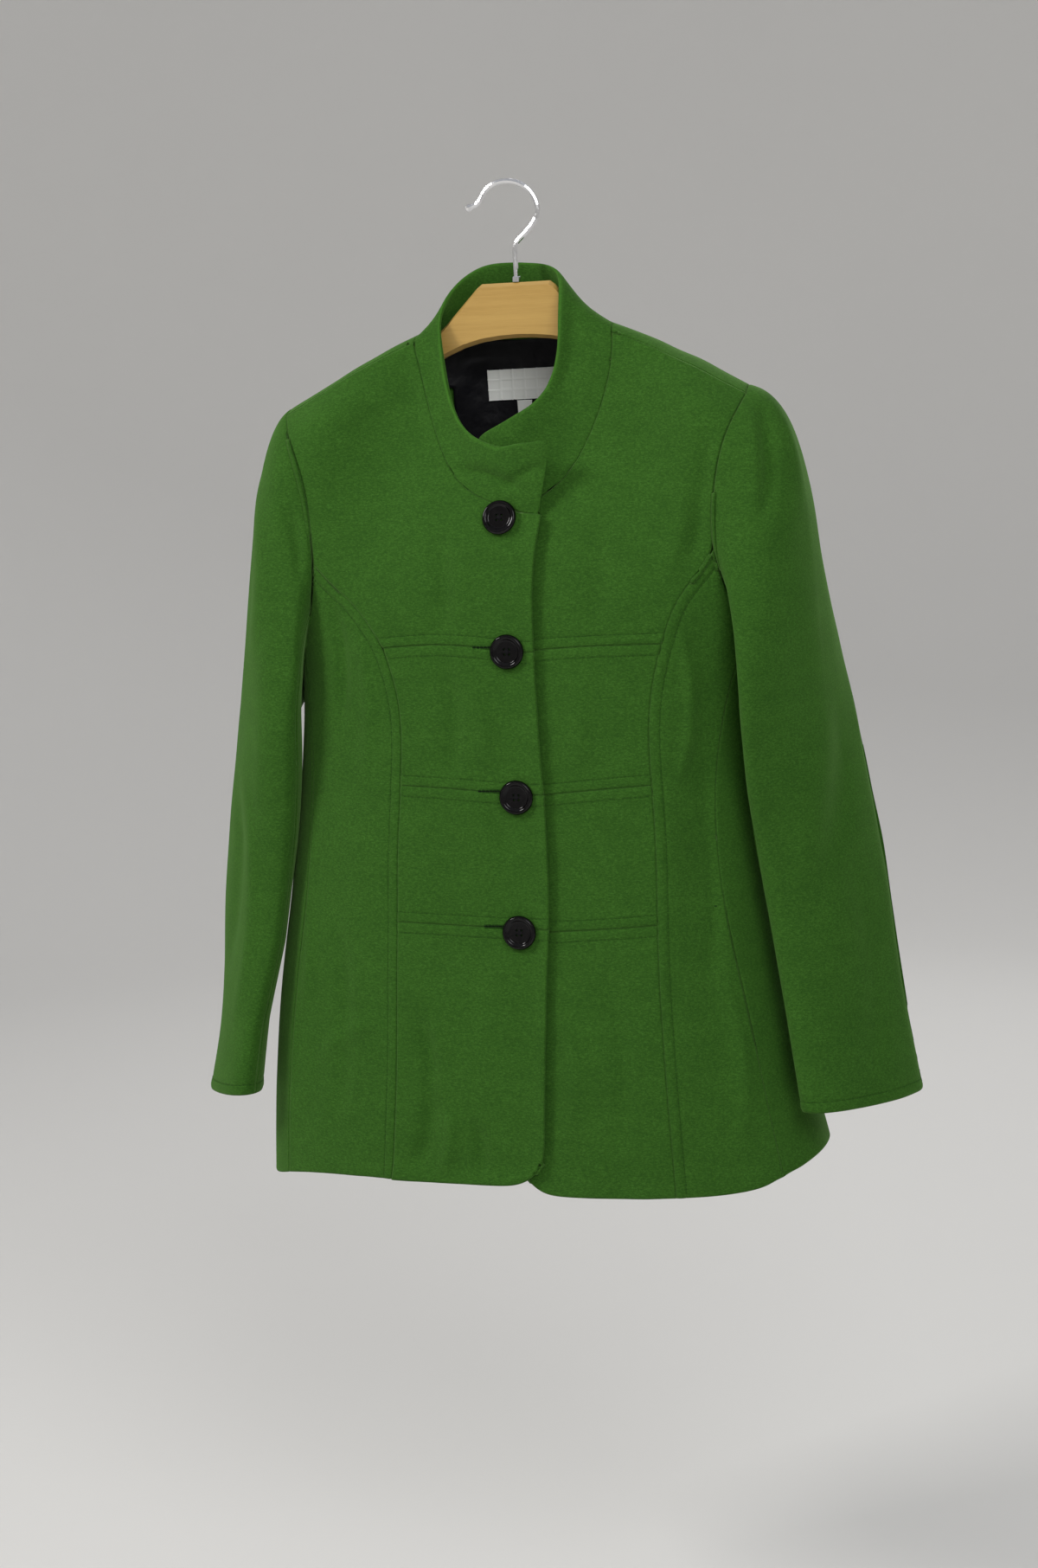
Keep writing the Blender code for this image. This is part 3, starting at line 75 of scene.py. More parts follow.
WALL = {"melton": 2.4 * MM, "collar": 2.0 * MM, "lining": 1.0 * MM, "label": 0.8 * MM}
SHOWN_WALL = 0.8            # share of its wall that a shown piece has
EDGE_ROLL = 0.35 * MM       # how far a cut edge turns under
EDGE_BAND = 1.0 * MM        # width of the turned edge
SEAM_GAP = 0.3 * MM         # between the solids of two sewn pieces
SEAM_CLOSE = 0.24 * MM      # how far each edge reaches into the gap of its seam
EDGE_LIFT = 2.8 * MM        # how far the buttoned front's free edge stands up
EDGE_LIFT_WIDE = 10 * MM
CORNER_TURN = 42.0          # degrees at which the outline of a piece has a corner
BODY_AXIS = (0.005, -0.012)     # the middle of the neck and body, seen from above
FAR_OFF = 100 * MM          # stands for no seam near by
GAP_MOST = 50 * MM

# Small waves along a stitched seam: their height, length, slant and slow sway
PUCKER = 0.10 * MM
PUCKER_LONG = 13 * MM
PUCKER_SLANT = 0.7
PUCKER_SWAY = 4 * MM
PUCKER_SWAY_LONG = 31 * MM

# Across a stitched seam, in shares of the way from the seam to its stitches: where the
# relief ends, the half width of the raised band, and the groove's half width and depth
BAND_END = 1.6
BAND_HALF = 0.33
GROOVE_HALF = 0.16
GROOVE_SHARE = 0.5
ROW_ENDS = 3 * MM           # a row of stitches keeps this far from the ends of its side
ROW_PROUD = 0.12 * MM
THREAD_PROUD = 0.1 * MM

# How a crease dies away: towards the edges of a piece, towards its own two ends, and where
# the cloth turns away from the front or back; and how far it bows, as a share of its length
CREASE_FADE = 14 * MM
CREASE_HALF_WAVE = (0.86, 0.07)
CREASE_ENDS = 1.2
CREASE_FACING = 2.5
CREASE_BOW = 0.06
WAVE_BEND = 0.6             # how much the slow waves wander sideways
LEAN_FACING = 0.6           # the leaning sleeve moves most where it faces the body

# The cut pieces: finishing group, times subdivided, flat width and length of the cut (mm)
# and the share of that rectangle that the cut fills; then the sides that are topstitched
PIECES = table(("node", "group", "fine", "width", "length", "share", "stitched"), (
    ("right_front_yoke", "body", 3, 205, 262, 0.68, ("foot",)),
    ("left_front_yoke", "body", 3, 205, 262, 0.68, ("foot",)),
    ("right_front_upper_middle", "body", 3, 133, 122, 0.90, ("top", "foot")),
    ("left_front_upper_middle", "body", 3, 147, 122, 0.90, ("top", "foot")),
    ("right_front_lower_middle", "body", 3, 134, 118, 0.95, ("top", "foot")),
    ("left_front_lower_middle", "body", 3, 134, 122, 0.94, ("top", "foot")),
    ("right_front_skirt", "body", 3, 148, 222, 0.90, ("top",)),
    ("left_front_skirt", "body", 3, 142, 228, 0.90, ("top",)),
    ("right_side_front", "body", 3, 150, 532, 0.62, ("inner",)),
    ("left_side_front", "body", 3, 120, 535, 0.52, ("inner",)),
    ("right_back", "body", 3, 330, 735, 0.80, ()),
    ("left_back", "body", 3, 310, 720, 0.82, ()),
    ("right_top_sleeve", "sleeve", 3, 185, 615, 0.80, ("foot",)),
    ("left_top_sleeve", "sleeve", 3, 190, 605, 0.82, ("foot",)),
    ("right_under_sleeve", "sleeve", 3, 130, 530, 0.84, ("foot",)),
    ("left_under_sleeve", "sleeve", 3, 130, 520, 0.85, ("foot",)),
))
LABEL_CUT = (63, 27, 1.0)
TAB_CUT = (13, 12, 1.0)

# Soft creases of each kind of piece, in front (-1) or behind (1). Each is a line down the cloth,
# seen from the front: its two ends in mm to the coat's left (+) and below the hook's crown,
# then its half width and height in mm (- is pressed in)
CREASES = {
    ("right_front", -1): (
        (-93, 142, -45, 225, 14, -4.5), (-51, 283, -49, 363, 8, -3.0), (8, 291, 22, 340, 7, 2.1),
        (-46, 388, -46, 481, 8, -3.0), (-24, 403, -16, 467, 7, 1.8), (-14, 506, 5, 555, 7, -2.0),
        (-82, 686, -75, 747, 7, -4.0), (-75, 742, -91, 816, 8, -4.5), (-56, 759, -68, 818, 7, 3.7),
        (-36, 769, -32, 818, 6, -3.1),
    ),
    ("right_side_front", -1): (
        (-147, 338, -148, 440, 6, -3.7), (-125, 352, -125, 483, 7, 2.4),
        (-195, 592, -199, 682, 8, 2.6), (-181, 726, -122, 689, 7, 3.0),
        (-160, 600, -168, 790, 9, -2.4),
    ),
    ("left_front", -1): (
        (172, 207, 159, 309, 9, -3.9), (150, 230, 140, 320, 9, 1.8), (83, 286, 80, 355, 10, -2.4),
        (60, 400, 64, 470, 9, 1.8), (80, 639, 87, 791, 9, -2.6), (40, 650, 44, 790, 9, 2.1),
    ),
    ("left_side_front", -1): (
        (150, 368, 144, 487, 5, 3.5), (158, 464, 164, 642, 8, -3.5), (176, 640, 184, 800, 8, 2.4),
    ),
    ("right_sleeve", -1): (
        (-184, 258, -171, 317, 7, -4.4), (-219, 237, -224, 382, 9, 3.0),
        (-256, 490, -280, 661, 9, -3.0), (-240, 500, -262, 700, 8, 2.4),
    ),
    ("left_sleeve", -1): (
        (215, 190, 219, 276, 6, -5.2), (230, 190, 236, 300, 8, 2.4),
        (261, 409, 260, 561, 10, -3.7), (238, 305, 244, 558, 10, 3.1),
        (274, 560, 290, 730, 10, -2.6),
    ),
    ("right_back", 1): (
        (-44, 290, -58, 440, 15, -1.8), (-84, 460, -110, 700, 14, 4.0),
        (-44, 520, -52, 800, 12, -3.7), (-150, 560, -186, 800, 12, -3.7),
    ),
    ("left_back", 1): (
        (54, 300, 64, 430, 13, -1.6), (96, 440, 118, 720, 13, 3.9), (46, 560, 60, 810, 11, -3.5),
        (158, 580, 190, 800, 12, -3.5),
    ),
    ("right_sleeve", 1): (
        (-232, 300, -250, 500, 12, -3.5), (-262, 520, -280, 720, 11, 3.1),
    ),
    ("left_sleeve", 1): (
        (232, 280, 246, 470, 12, -3.7), (258, 500, 276, 720, 10, 3.1),
    ),
    ("collar", -1): (
        (-42, 229, 22, 248, 4, -3.2), (2, 249, 42, 228, 4, -2.6), (-30, 220, 20, 232, 6, 1.2),
        (57, 99, 51, 172, 7, -2.3),
    ),
}

# Where the collar is drawn out: a spot, the way it is moved and the reach (mm)
COLLAR_PULLS = table(("x", "y", "z", "dx", "dy", "dz", "reach"), (
    (47, -75, -208, 1.5, -2.5, 4.5, 13), (5, -66, -212, 0.0, 0.0, -2.0, 12),
    (43, -82, -262, -5.5, -1.0, 0.0, 16),
))
NECK_NODES = ("right_front_yoke", "left_front_yoke", "right_back", "left_back")
COLLAR_FOOT_NEAR = 1.7 * MM     # the collar's foot is within this of the body's cloth
COLLAR_FOOT_STIFF = 1 * MM      # above its foot the collar stays uncreased this far,
COLLAR_FOOT_FADE = 9 * MM       # and its creases grow over this height
SEAM_NEAR = 1 * MM              # the skin this close to the body's cloth is sewn to it
SEAM_PRESS = 0.8                # share of the seam's gap that the collar's foot closes
RIM_HIGHLIGHT_WIDE = 1.3 * MM             # the painted highlight on the collar's turned edge: its width, and how many times paler it makes the wool
RIM_HIGHLIGHT_GAIN = 1.7

# Where a hem's corner is rounded, in the same way
HEM_PULLS = table(("x", "y", "z", "dx", "dy", "dz", "reach"), (
    (-251, 6, -846, 4.0, 0.0, 8.0, 32), (218, -55, -822, -1.0, 0.0, 3.0, 14),
))

# The right sleeve leans against the body between two heights
LEAN_PUSH = 5.0 * MM
LEAN_CLEAR = 1.3 * MM           # and keeps this far off the body's solids
LEAN_START = -330 * MM
LEAN_END = -700 * MM
LEAN_FADE = 70 * MM

# Inside the neck: the lining's pleat, with its foot's drop below the hook's crown
PLEAT_ACROSS = 10 * MM
PLEAT_WIDE = 2.2 * MM
PLEAT_HIGH = 0.8 * MM
PLEAT_DROP = 146 * MM
PLEAT_FADE = 8 * MM
LABEL_PROUD = 0.8 * MM          # how far the sewn label stands off the lining

# Slow waves of the cloth, no two alike: wavelengths across and down, phase, height (mm)
WAVES = table(("across", "down", "phase", "high"), (
    (71, 190, 0.4, 0.32), (43, 127, 2.1, 0.18), (112, 83, 4.0, 0.22), (29, 61, 1.3, 0.07),
))

# The photograph's camera
CAMERA_AZIMUTH = 16.0
CAMERA_ELEVATION = 9.0
CAMERA_ROLL = -2.6
CAMERA_DEPTH = 2.13         # metres from the lens to the hook's crown, along the view
PHOTO_WIDE = 1200
PHOTO_HIGH = 1812
FOCAL_PIXELS = 3000.0
CROWN_PIXEL = (583.2, 212.2)    # where the hook's crown lies in the photograph
SENSOR = 36.0

# Buttonholes in the cross seams: where each slit starts and ends, and its drop (mm)
BUTTONHOLES = table(("x1", "x2", "drop"), (
    (-22, 3, 373.2), (-22, 3, 491.4), (-21, 3, 604.0),
))
# width of the dark strip of painted shade in each buttonhole
SLIT_WIDE = 1.3 * MM
LIP_OFF = 1.05 * MM             # from the slit's middle to the sewn lip above and below it
LIP_RADIUS = 0.55 * MM
SLIT_STEPS = 9

# Bar tacks at the ends of the pocket mouths: side and drop (mm)
POCKET_TACKS = table(("side", "drop"), (
    ("left_side_front", 587), ("left_side_front", 707),
    ("right_side_front", 587), ("right_side_front", 707),
))
TACK_LONG = 9 * MM
TACK_RADIUS = 0.9 * MM
TACK_PROUD = 0.2 * MM

BUTTON_NODES = ("button_1", "button_2", "button_3", "button_4")
BUTTON_PROFILE = table(("radius", "height"), (
    (0, 0.4), (9.0, 0.0), (12.6, 0.0), (14.3, 1.6), (14.3, 2.8), (12.9, 4.6), (11.0, 4.3),
    (9.2, 2.5), (0, 2.1),
))
BUTTON_RINGS = 64
BUTTON_SIDES = 72
BUTTON_GRID = np.linspace(0, 1, 800)
BUTTON_SOFT = 0.42          # mm over which the profile's corners are rounded
HOLE_RADIUS = 1.05 * MM
HOLE_OFF = 1.9 * MM         # from the button's axis, along both of its own axes
DISH_FLOOR = 2.25 * MM
THREAD_RADIUS = 0.36 * MM
BUTTON_SHARP = 48.0         # degrees at which a turned edge shows as sharp
THREAD_OFF = 0.4 * MM       # two threads lie side by side, each this far from the middle

# The rounded ends of a short rod of thread: share of its length and of its radius
ROD_ENDS = ((0.0, 0.35), (0.12, 0.82), (0.3, 1.0), (0.7, 1.0), (0.88, 0.82), (1.0, 0.35))

# The studio's round floor and the wall that it turns up into
FLOOR_LEVEL = -1.32
FLOOR_FLAT = 1.2            # radius of the floor's first ring
BOWL_RADIUS = 4.6
BOWL_TURN = 1.6
BOWL_HIGH = 5.2
BOWL_STEPS = 12
BOWL_SIDES = 96
LIT_HEART = (0.0, 0.0, -0.45)   # the lights look at the middle of the coat


# ---------------------------------------------------------------- settings

def tint(name, about, colour):
    """A colour that the panel offers."""
    return FloatVectorProperty(name=name, description=about, subtype="COLOR", default=colour,
                               min=0, max=1)


def span(name, about, size, low, high):
    """A distance that the panel offers."""
    return FloatProperty(name=name, description=about, subtype="DISTANCE", default=size,
                         min=low, max=high)


class CoatCloth(bpy.types.PropertyGroup):
    """What the woollen cloth looks like."""

    colour: tint("Colour", "Main colour of the wool", (0.0312, 0.099, 0.0112))
    pale_fibre: tint("Pale fibres", "Colour of the palest fibres", (0.047, 0.138, 0.0185))
    dark_fibre: tint("Dark fibres", "Colour of the darkest fibres", (0.0215, 0.072, 0.0085))
    nap: span("Nap", "Height of the milled pile", 0.24 * MM, 0, 2 * MM)
    seam_band: span("Stitch to seam", "How far the topstitching is from its seam",
                    8.6 * MM, 3 * MM, 15 * MM)
    seam_relief: span("Seam relief", "How far the allowance lifts a stitched band",
                      0.55 * MM, 0, 2 * MM)


class CoatStitching(bpy.types.PropertyGroup):
    """Size of the topstitches."""

    pitch: span("Pitch", "From one stitch to the next", 3.3 * MM, 1 * MM, 8 * MM)
    length: span("Length", "Visible length of a stitch", 2.1 * MM, 0.5 * MM, 7 * MM)
    thickness: span("Thickness", "Thickness of the thread", 0.42 * MM, 0.1 * MM, 1.5 * MM)
    colour: tint("Colour", "Colour of the thread", (0.018, 0.060, 0.0085))


class CoatHard(bpy.types.PropertyGroup):
    """Finishes of the buttons, the hanger and the neck's inside."""

    button: tint("Button", "Colour of the buttons", (0.0015, 0.0012, 0.0014))
    wood: tint("Wood", "Main colour of the hanger", (0.465, 0.285, 0.074))
    lining: tint("Lining", "Colour of the lining", (0.0035, 0.0035, 0.0045))
    label: tint("Label", "Colour of the bare label", (0.92, 0.93, 0.88))


class CoatStage(bpy.types.PropertyGroup):
    """The plain studio."""

    floor: tint("Floor", "Colour of the floor", (0.72, 0.71, 0.69))
    key: FloatProperty(
        name="Key light", description="Strength of the main light", subtype="POWER",
        default=48.0, min=0, max=500)
    fill: FloatProperty(
        name="Fill light", description="Strength of the filling light", subtype="POWER",
        default=37.0, min=0, max=500)


# ---------------------------------------------------------------- meshes

def linked(name, data):
    """An object of the scene that carries some data."""
    obj = bpy.data.objects.new(name, data)
    bpy.context.scene.collection.objects.link(obj)
    return obj


def mesh_from(name, bm):
    """A mesh from an edited one, which is used up."""
    mesh = bpy.data.meshes.new(name)
    bm.to_mesh(mesh)
    bm.free()
    return mesh


def new_piece(name, verts, faces, edges=()):
    """A mesh object at the origin, with its place in its vertices."""
    mesh = bpy.data.meshes.new(name)
    mesh.from_pydata([tuple(v) for v in verts], list(edges), [tuple(f) for f in faces])
    mesh.update()
    return linked(name, mesh)


def sheets_tree(meshes):
    """The faces of some meshes as one tree."""
    verts, faces = [], []
    for mesh in meshes:
        first = len(verts)
        verts += [tuple(v.co) for v in mesh.vertices]
        faces += [[first + i for i in p.vertices] for p in mesh.polygons]
    return BVHTree.FromPolygons(verts, faces)


def solid_tree(names):
    """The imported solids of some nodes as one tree."""
    return sheets_tree([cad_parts[name].data for name in names])


def skin_of(names):
    """The shown cloth of some nodes as one tree for finding places on it."""
    return sheets_tree([bpy.data.objects[name + "_cloth"].data for name in names])


def places_of(mesh):
    """The places and normals of a mesh's vertices."""
    return (np.array([v.co for v in mesh.vertices]), np.array([v.normal for v in mesh.vertices]))


def islands_of(bm):
    """The separate sheets of a mesh, each a list of faces in the same order every run."""
    bm.faces.index_update()
    seen = set()
    sheets = []
    for first in bm.faces:
        if first.index in seen:
            continue
        seen.add(first.index)
        stack = [first]
        sheet = []
        while stack:
            face = stack.pop()
            sheet.append(face)
            for other in (f for edge in face.edges for f in edge.link_faces):
                if other.index not in seen:
                    seen.add(other.index)
                    stack.append(other)
        sheets.append(sheet)
    return sheets


def tube_middle(nodes, step=25 * MM):
    """The middle of a sleeve at each height, from its solids' own points."""
    points = np.array([v.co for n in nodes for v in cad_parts[n].data.vertices])
    low, high = points[:, 2].min(), points[:, 2].max()
    heights = np.arange(low, high, step)
    middles = []
    for h in heights:
        band = points[np.abs(points[:, 2] - h) < 1.5 * step]
        middles.append((band.min(0) + band.max(0))[:2] / 2)
    return heights, np.array(middles)


def middle_at(node, heights):
    """The axis that a piece wraps round, at each height."""
    side = node.split("_")[0]
    if not node.endswith("sleeve"):
        return np.tile(BODY_AXIS, (len(heights), 1))
    where, middles = tube_middle([side + "_top_sleeve", side + "_under_sleeve"])
    return np.array([[np.interp(h, where, middles[:, k]) for k in (0, 1)] for h in heights])


def two_sides(node, thick):
    """Both sheets of a cloth wall, its rim left out: first the one that faces outward."""
    bm = bmesh.new()
    bm.from_mesh(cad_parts[node].data)
    bmesh.ops.remove_doubles(bm, verts=bm.verts[:], dist=0.001 * MM)
    rim = [f for f in bm.faces
           if any(abs(e.calc_length() - thick) < 0.01 * thick for e in f.edges)]
    bmesh.ops.delete(bm, geom=rim, context="FACES")
    bm.verts.index_update()
    sheets = sorted(islands_of(bm), key=len, reverse=True)[:2]
    marks = []
    for sheet in sheets:
        middles = np.array([f.calc_center_median() for f in sheet])
        away = middles[:, :2] - middle_at(node, middles[:, 2])
        facing = np.array([f.normal[:2] for f in sheet])
        size = np.array([f.calc_area() for f in sheet])
        marks.append(float(((away * facing).sum(1) * size).sum()))
    if marks[0] < marks[1]:
        sheets.reverse()
    parts = []
    for sheet in sheets:
        verts = sorted({v for f in sheet for v in f.verts}, key=lambda v: v.index)
        number = {v: i for i, v in enumerate(verts)}
        parts.append(([v.co.copy() for v in verts],
                      [[number[v] for v in f.verts] for f in sheet]))
    bm.free()
    return parts


def whole_quads(bm):
    """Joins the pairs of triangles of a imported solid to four-sided cells again."""
    bmesh.ops.join_triangles(
        bm, faces=bm.faces[:], angle_face_threshold=math.pi, angle_shape_threshold=math.pi)


def smoothed(obj, fine):
    """The object subdivided some times, its sharp corners and edges kept."""
    smooth = obj.modifiers.new("smooth", "SUBSURF")
    smooth.levels = fine
    smooth.render_levels = fine
    smooth.boundary_smooth = "PRESERVE_CORNERS"
    return applied(obj)


def subdivided(name, verts, faces, fine):
    """The sheet as a smooth fine mesh, its corners kept."""
    obj = new_piece(name, verts, faces)
    bm = bmesh.new()
    bm.from_mesh(obj.data)
    whole_quads(bm)
    hard = bm.verts.layers.float.new("crease_vert")
    for side in outline_sides(outline_of(bm)):
        side[0][hard] = 1.0
    bm.to_mesh(obj.data)
    bm.free()
    return smoothed(obj, fine)


def applied(obj):
    """The object with its modifiers turned into its mesh."""
    bpy.context.view_layer.update()
    graph = bpy.context.evaluated_depsgraph_get()
    mesh = bpy.data.meshes.new_from_object(obj.evaluated_get(graph))
    old = obj.data
    obj.modifiers.clear()
    obj.data = mesh
    mesh.name = obj.name
    bpy.data.meshes.remove(old)
    return obj


def outline_of(bm):
    """The vertices round a sheet's open edge, in order."""
    start = next(e for e in bm.edges if e.is_boundary)
    first, here = start.verts
    loop = [first, here]
    edge = start
    while True:
        edge = next(e for e in here.link_edges if e.is_boundary and e is not edge)
        here = edge.other_vert(here)
        if here is first:
            return loop
        loop.append(here)


def outline_sides(loop):
    """The outline cut at its corners, each side a list of vertices."""
    points = np.array([v.co for v in loop])
    before = points - np.roll(points, 1, axis=0)
    after = np.roll(points, -1, axis=0) - points
    cosine = (before * after).sum(1) / np.linalg.norm(before, axis=1)
    cosine /= np.linalg.norm(after, axis=1)
    turn = np.degrees(np.arccos(np.clip(cosine, -1, 1)))
    corners = [i for i, t in enumerate(turn) if t > CORNER_TURN]
    sides = []
    for a, b in zip(corners, corners[1:] + [corners[0] + len(loop)]):
        sides.append([loop[i % len(loop)] for i in range(a, b + 1)])
    return sides


def pick_side(sides, which):
    """The side at the top, the foot or the inner edge of a piece."""
    long = [s for s in sides if len(s) > 6]
    score = {
        "top": lambda s: np.mean([v.co.z for v in s]),
        "foot": lambda s: -np.mean([v.co.z for v in s]),
        "inner": lambda s: -np.mean([abs(v.co.x) for v in s]),
        "free": lambda s: np.mean([v.co.x for v in s]),
    }[which]
    return max(long, key=score)


def distance_to_lines(points, lines):
    """How far each point is from the nearest of some lines of points."""
    far = np.full(len(points), 1.0)
    for line in lines:
        for a, b in zip(line[:-1], line[1:]):
            step = b - a
            share = np.clip(((points - a) @ step) / max(step @ step, 1e-12), 0, 1)
            near = a + share[:, None] * step
            far = np.minimum(far, np.linalg.norm(points - near, axis=1))
    return far


def crease_height(across, drop, line):
    """How far one crease lifts each place seen from the front, in mm."""
    x1, drop1, x2, drop2, wide, high = line
    start = np.array((x1, drop1), float)
    step = np.array((x2, drop2), float) - start
    long = np.linalg.norm(step)
    here = np.stack((across, drop), axis=1) - start
    share = (here @ step) / (step @ step)
    along = np.clip(share, 0, 1)
    bow = CREASE_BOW * long * np.sin(math.pi * along)
    side = (here[:, 0] * step[1] - here[:, 1] * step[0]) / long - bow
    away = np.hypot(side, (share - along) * long) / wide
    half_wave = np.clip(share * CREASE_HALF_WAVE[0] + CREASE_HALF_WAVE[1], 0, 1)
    fade = np.clip(CREASE_ENDS * np.sin(math.pi * half_wave), 0, 1)
    return high * np.exp(-away * away) * fade


def soft_relief(points, normals, kind, middle=1.0):
    """How far the cloth stands proud at each point: its slow waves and its creases."""
    across = points[:, 0] / MM
    drop = -points[:, 2] / MM
    high = np.zeros(len(points))
    folds = np.zeros(len(points))
    for wave in WAVES:
        angle = across / wave["across"] + WAVE_BEND * np.sin(drop / wave["down"])
        turn = 2 * math.pi * (angle + drop / wave["down"] / 2) + wave["phase"]
        high += wave["high"] * np.sin(turn)
    for (on, face), lines in CREASES.items():
        if on == kind:
            facing = np.clip(normals[:, 1] * face * CREASE_FACING, 0, 1)
            for line in lines:
                folds += crease_height(across, drop, line) * facing
    return (high + folds * middle * middle * (3 - 2 * middle)) * MM


def add_seams(relief, points, stitch, settings):
    """Adds the pucker, the raised band and the groove beside a topstitched seam."""
    band = np.clip(stitch / settings.seam_band, 0, BAND_END)
    along = PUCKER_SLANT * points[:, 0] + points[:, 2]
    along += PUCKER_SWAY * np.sin(points[:, 2] / PUCKER_SWAY_LONG)
    relief += PUCKER * np.sin(2 * math.pi * along / PUCKER_LONG) * np.exp(-band * band)
    relief += settings.seam_relief * np.exp(-((band - 0.5) / BAND_HALF) ** 4)
    relief -= GROOVE_SHARE * settings.seam_relief * np.exp(-((band - 1.0) / GROOVE_HALF) ** 2)


def store(mesh, name, values):
    """A number at each vertex, for the materials to read."""
    layer = mesh.attributes.new(name, "FLOAT", "POINT")
    layer.data.foreach_set("value", np.asarray(values, np.float32))


ROWS = []       # the stitch rows of every piece, as points on the shown cloth


def stitch_row(verts, tree, inset):
    """A line on the cloth that runs beside one side of its outline."""
    line = np.array([v.co for v in verts])
    row = []
    for i in range(len(line)):
        along = Vector(line[min(i + 1, len(line) - 1)] - line[max(i - 1, 0)]).normalized()
        normal = tree.find_nearest(Vector(line[i]))[1]
        inward = normal.cross(along).normalized()
        spots = [tree.find_nearest(Vector(line[i]) + s * inward * inset) for s in (1, -1)]
        gaps = [(spot[0] - Vector(line[i])).length for spot in spots]
        best = spots[0] if gaps[0] > gaps[1] else spots[1]
        row.append(best[0] + best[1] * ROW_PROUD)
    length = np.r_[0, np.cumsum([(b - a).length for a, b in zip(row[:-1], row[1:])])]
    return [p for p, d in zip(row, length) if ROW_ENDS < d < length[-1] - ROW_ENDS]


def closed_seams(bm, moved):
    """Draws each open edge a little into the gap of its seam."""
    for v in bm.verts:
        if v.is_boundary:
            inner = [e.other_vert(v).co for e in v.link_edges if not e.is_boundary]
            if inner:
                away = (v.co - sum(inner, Vector()) / len(inner)).normalized()
                moved[v.index] += np.array(away) * SEAM_CLOSE


def thicken(obj, thick):
    """Gives a sheet its wall, a little thinner than its solid's."""
    shell = obj.modifiers.new("thickness", "SOLIDIFY")
    shell.thickness = SHOWN_WALL * thick
    shell.offset = -1
    applied(obj)
    obj.data.shade_smooth()


def kind_of(node):
    """The kind of a cut piece, which says what creases it takes."""
    side, part = node.split("_")[:2]
    if node.endswith("sleeve"):
        return side + "_sleeve"
    return node if node.endswith("side_front") else side + "_" + part


def cloth_shell(piece, settings):
    """One cut piece: a fine thin shell on the outer side of its solid."""
    node = piece["node"]
    kind = kind_of(node)
    verts, faces = two_sides(node, WALL["melton"])[0]
    obj = subdivided(node + "_cloth", verts, faces, piece["fine"])
    bm = bmesh.new()
    bm.from_mesh(obj.data)
    bm.normal_update()
    loop = outline_of(bm)
    sides = outline_sides(loop)
    stitched = [pick_side(sides, which) for which in piece["stitched"]]
    tree = BVHTree.FromBMesh(bm)
    rows = [stitch_row(side, tree, settings.seam_band) for side in stitched]
    lines = [np.array([v.co for v in side]) for side in stitched]
    border = np.array([v.co for v in loop + loop[:1]])
    free_edge = np.array([v.co for v in pick_side(sides, "free")])
    bm.verts.index_update()
    bmesh.ops.inset_region(
        bm, faces=bm.faces[:], thickness=EDGE_BAND, use_boundary=True, use_even_offset=True)
    bm.normal_update()
    points = np.array([v.co for v in bm.verts])
    normals = np.array([v.normal for v in bm.verts])
    edge = distance_to_lines(points, [border])
    stitch = distance_to_lines(points, lines) if lines else np.full(len(points), FAR_OFF)
    relief = soft_relief(points, normals, kind, np.clip(edge / CREASE_FADE, 0, 1))
    add_seams(relief, points, stitch, settings)
    if kind == "right_front":
        free = distance_to_lines(points, [free_edge])
        relief += EDGE_LIFT * np.exp(-(free / EDGE_LIFT_WIDE) ** 2)
    relief -= EDGE_ROLL * np.array([v.is_boundary for v in bm.verts])
    moved = points + normals * relief[:, None] + pulled(points, HEM_PULLS)
    if kind == "right_sleeve":
        moved += leaned(moved, normals)
    closed_seams(bm, moved)
    for v, place in zip(bm.verts, moved):
        v.co = place
    bm.to_mesh(obj.data)
    bm.free()
    # The distance to the cut edge also sets the wool's painted shade along the edges
    store(obj.data, "edge_gap", edge)
    store(obj.data, "stitch_gap", stitch)
    shown = sheets_tree([obj.data])
    for row in rows:
        placed = [shown.find_nearest(p) for p in row]
        ROWS.append([spot[0] + spot[1] * THREAD_PROUD for spot in placed])
    thicken(obj, WALL["melton"])
    return obj


def leaned(points, normals):
    """How far the right sleeve's inner side leans over to the body beside it."""
    body = solid_tree(("right_side_front", "right_back"))
    lean = np.zeros_like(points)
    height = np.clip((points[:, 2] - LEAN_END) / LEAN_FADE, 0, 1)
    height *= np.clip((LEAN_START - points[:, 2]) / LEAN_FADE, 0, 1)
    push = LEAN_PUSH * height * np.clip(LEAN_FACING + normals[:, 0], 0, 1)
    for k in np.flatnonzero(push > 0.01 * MM):
        clear = body.ray_cast(Vector(points[k]), Vector((1, 0, 0)), LEAN_PUSH + LEAN_CLEAR)[3]
        room = LEAN_PUSH if clear is None else max(clear - LEAN_CLEAR, 0)
        lean[k, 0] = min(push[k], room)
    return lean


def pulled(points, pulls):
    """How far each point is drawn by the listed pulls."""
    drawn = np.zeros_like(points)
    for pull in pulls:
        spot = np.array([pull[k] * MM for k in ("x", "y", "z")])
        push = np.array([pull[k] * MM for k in ("dx", "dy", "dz")])
        away = np.linalg.norm(points - spot, axis=1) / (pull["reach"] * MM)
        drawn += np.exp(-away * away)[:, None] * push
    return drawn


def repaint(obj, material):
    """Gives a piece one material in place of those it has."""
    obj.data.materials.clear()
    obj.data.materials.append(material)


def settle(obj, slot, material, *nodes):
    """Gives a piece its material, and the place of the nodes it stands for. The slot is not used.
    """
    repaint(obj, material)
    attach(obj, "root")
    if nodes:
        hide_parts(*nodes)


def dress(obj, nodes, slot, material):
    """Hangs a cloth piece in the place of its solids."""
    settle(obj, slot, material, *nodes)


# ---------------------------------------------------------------- materials

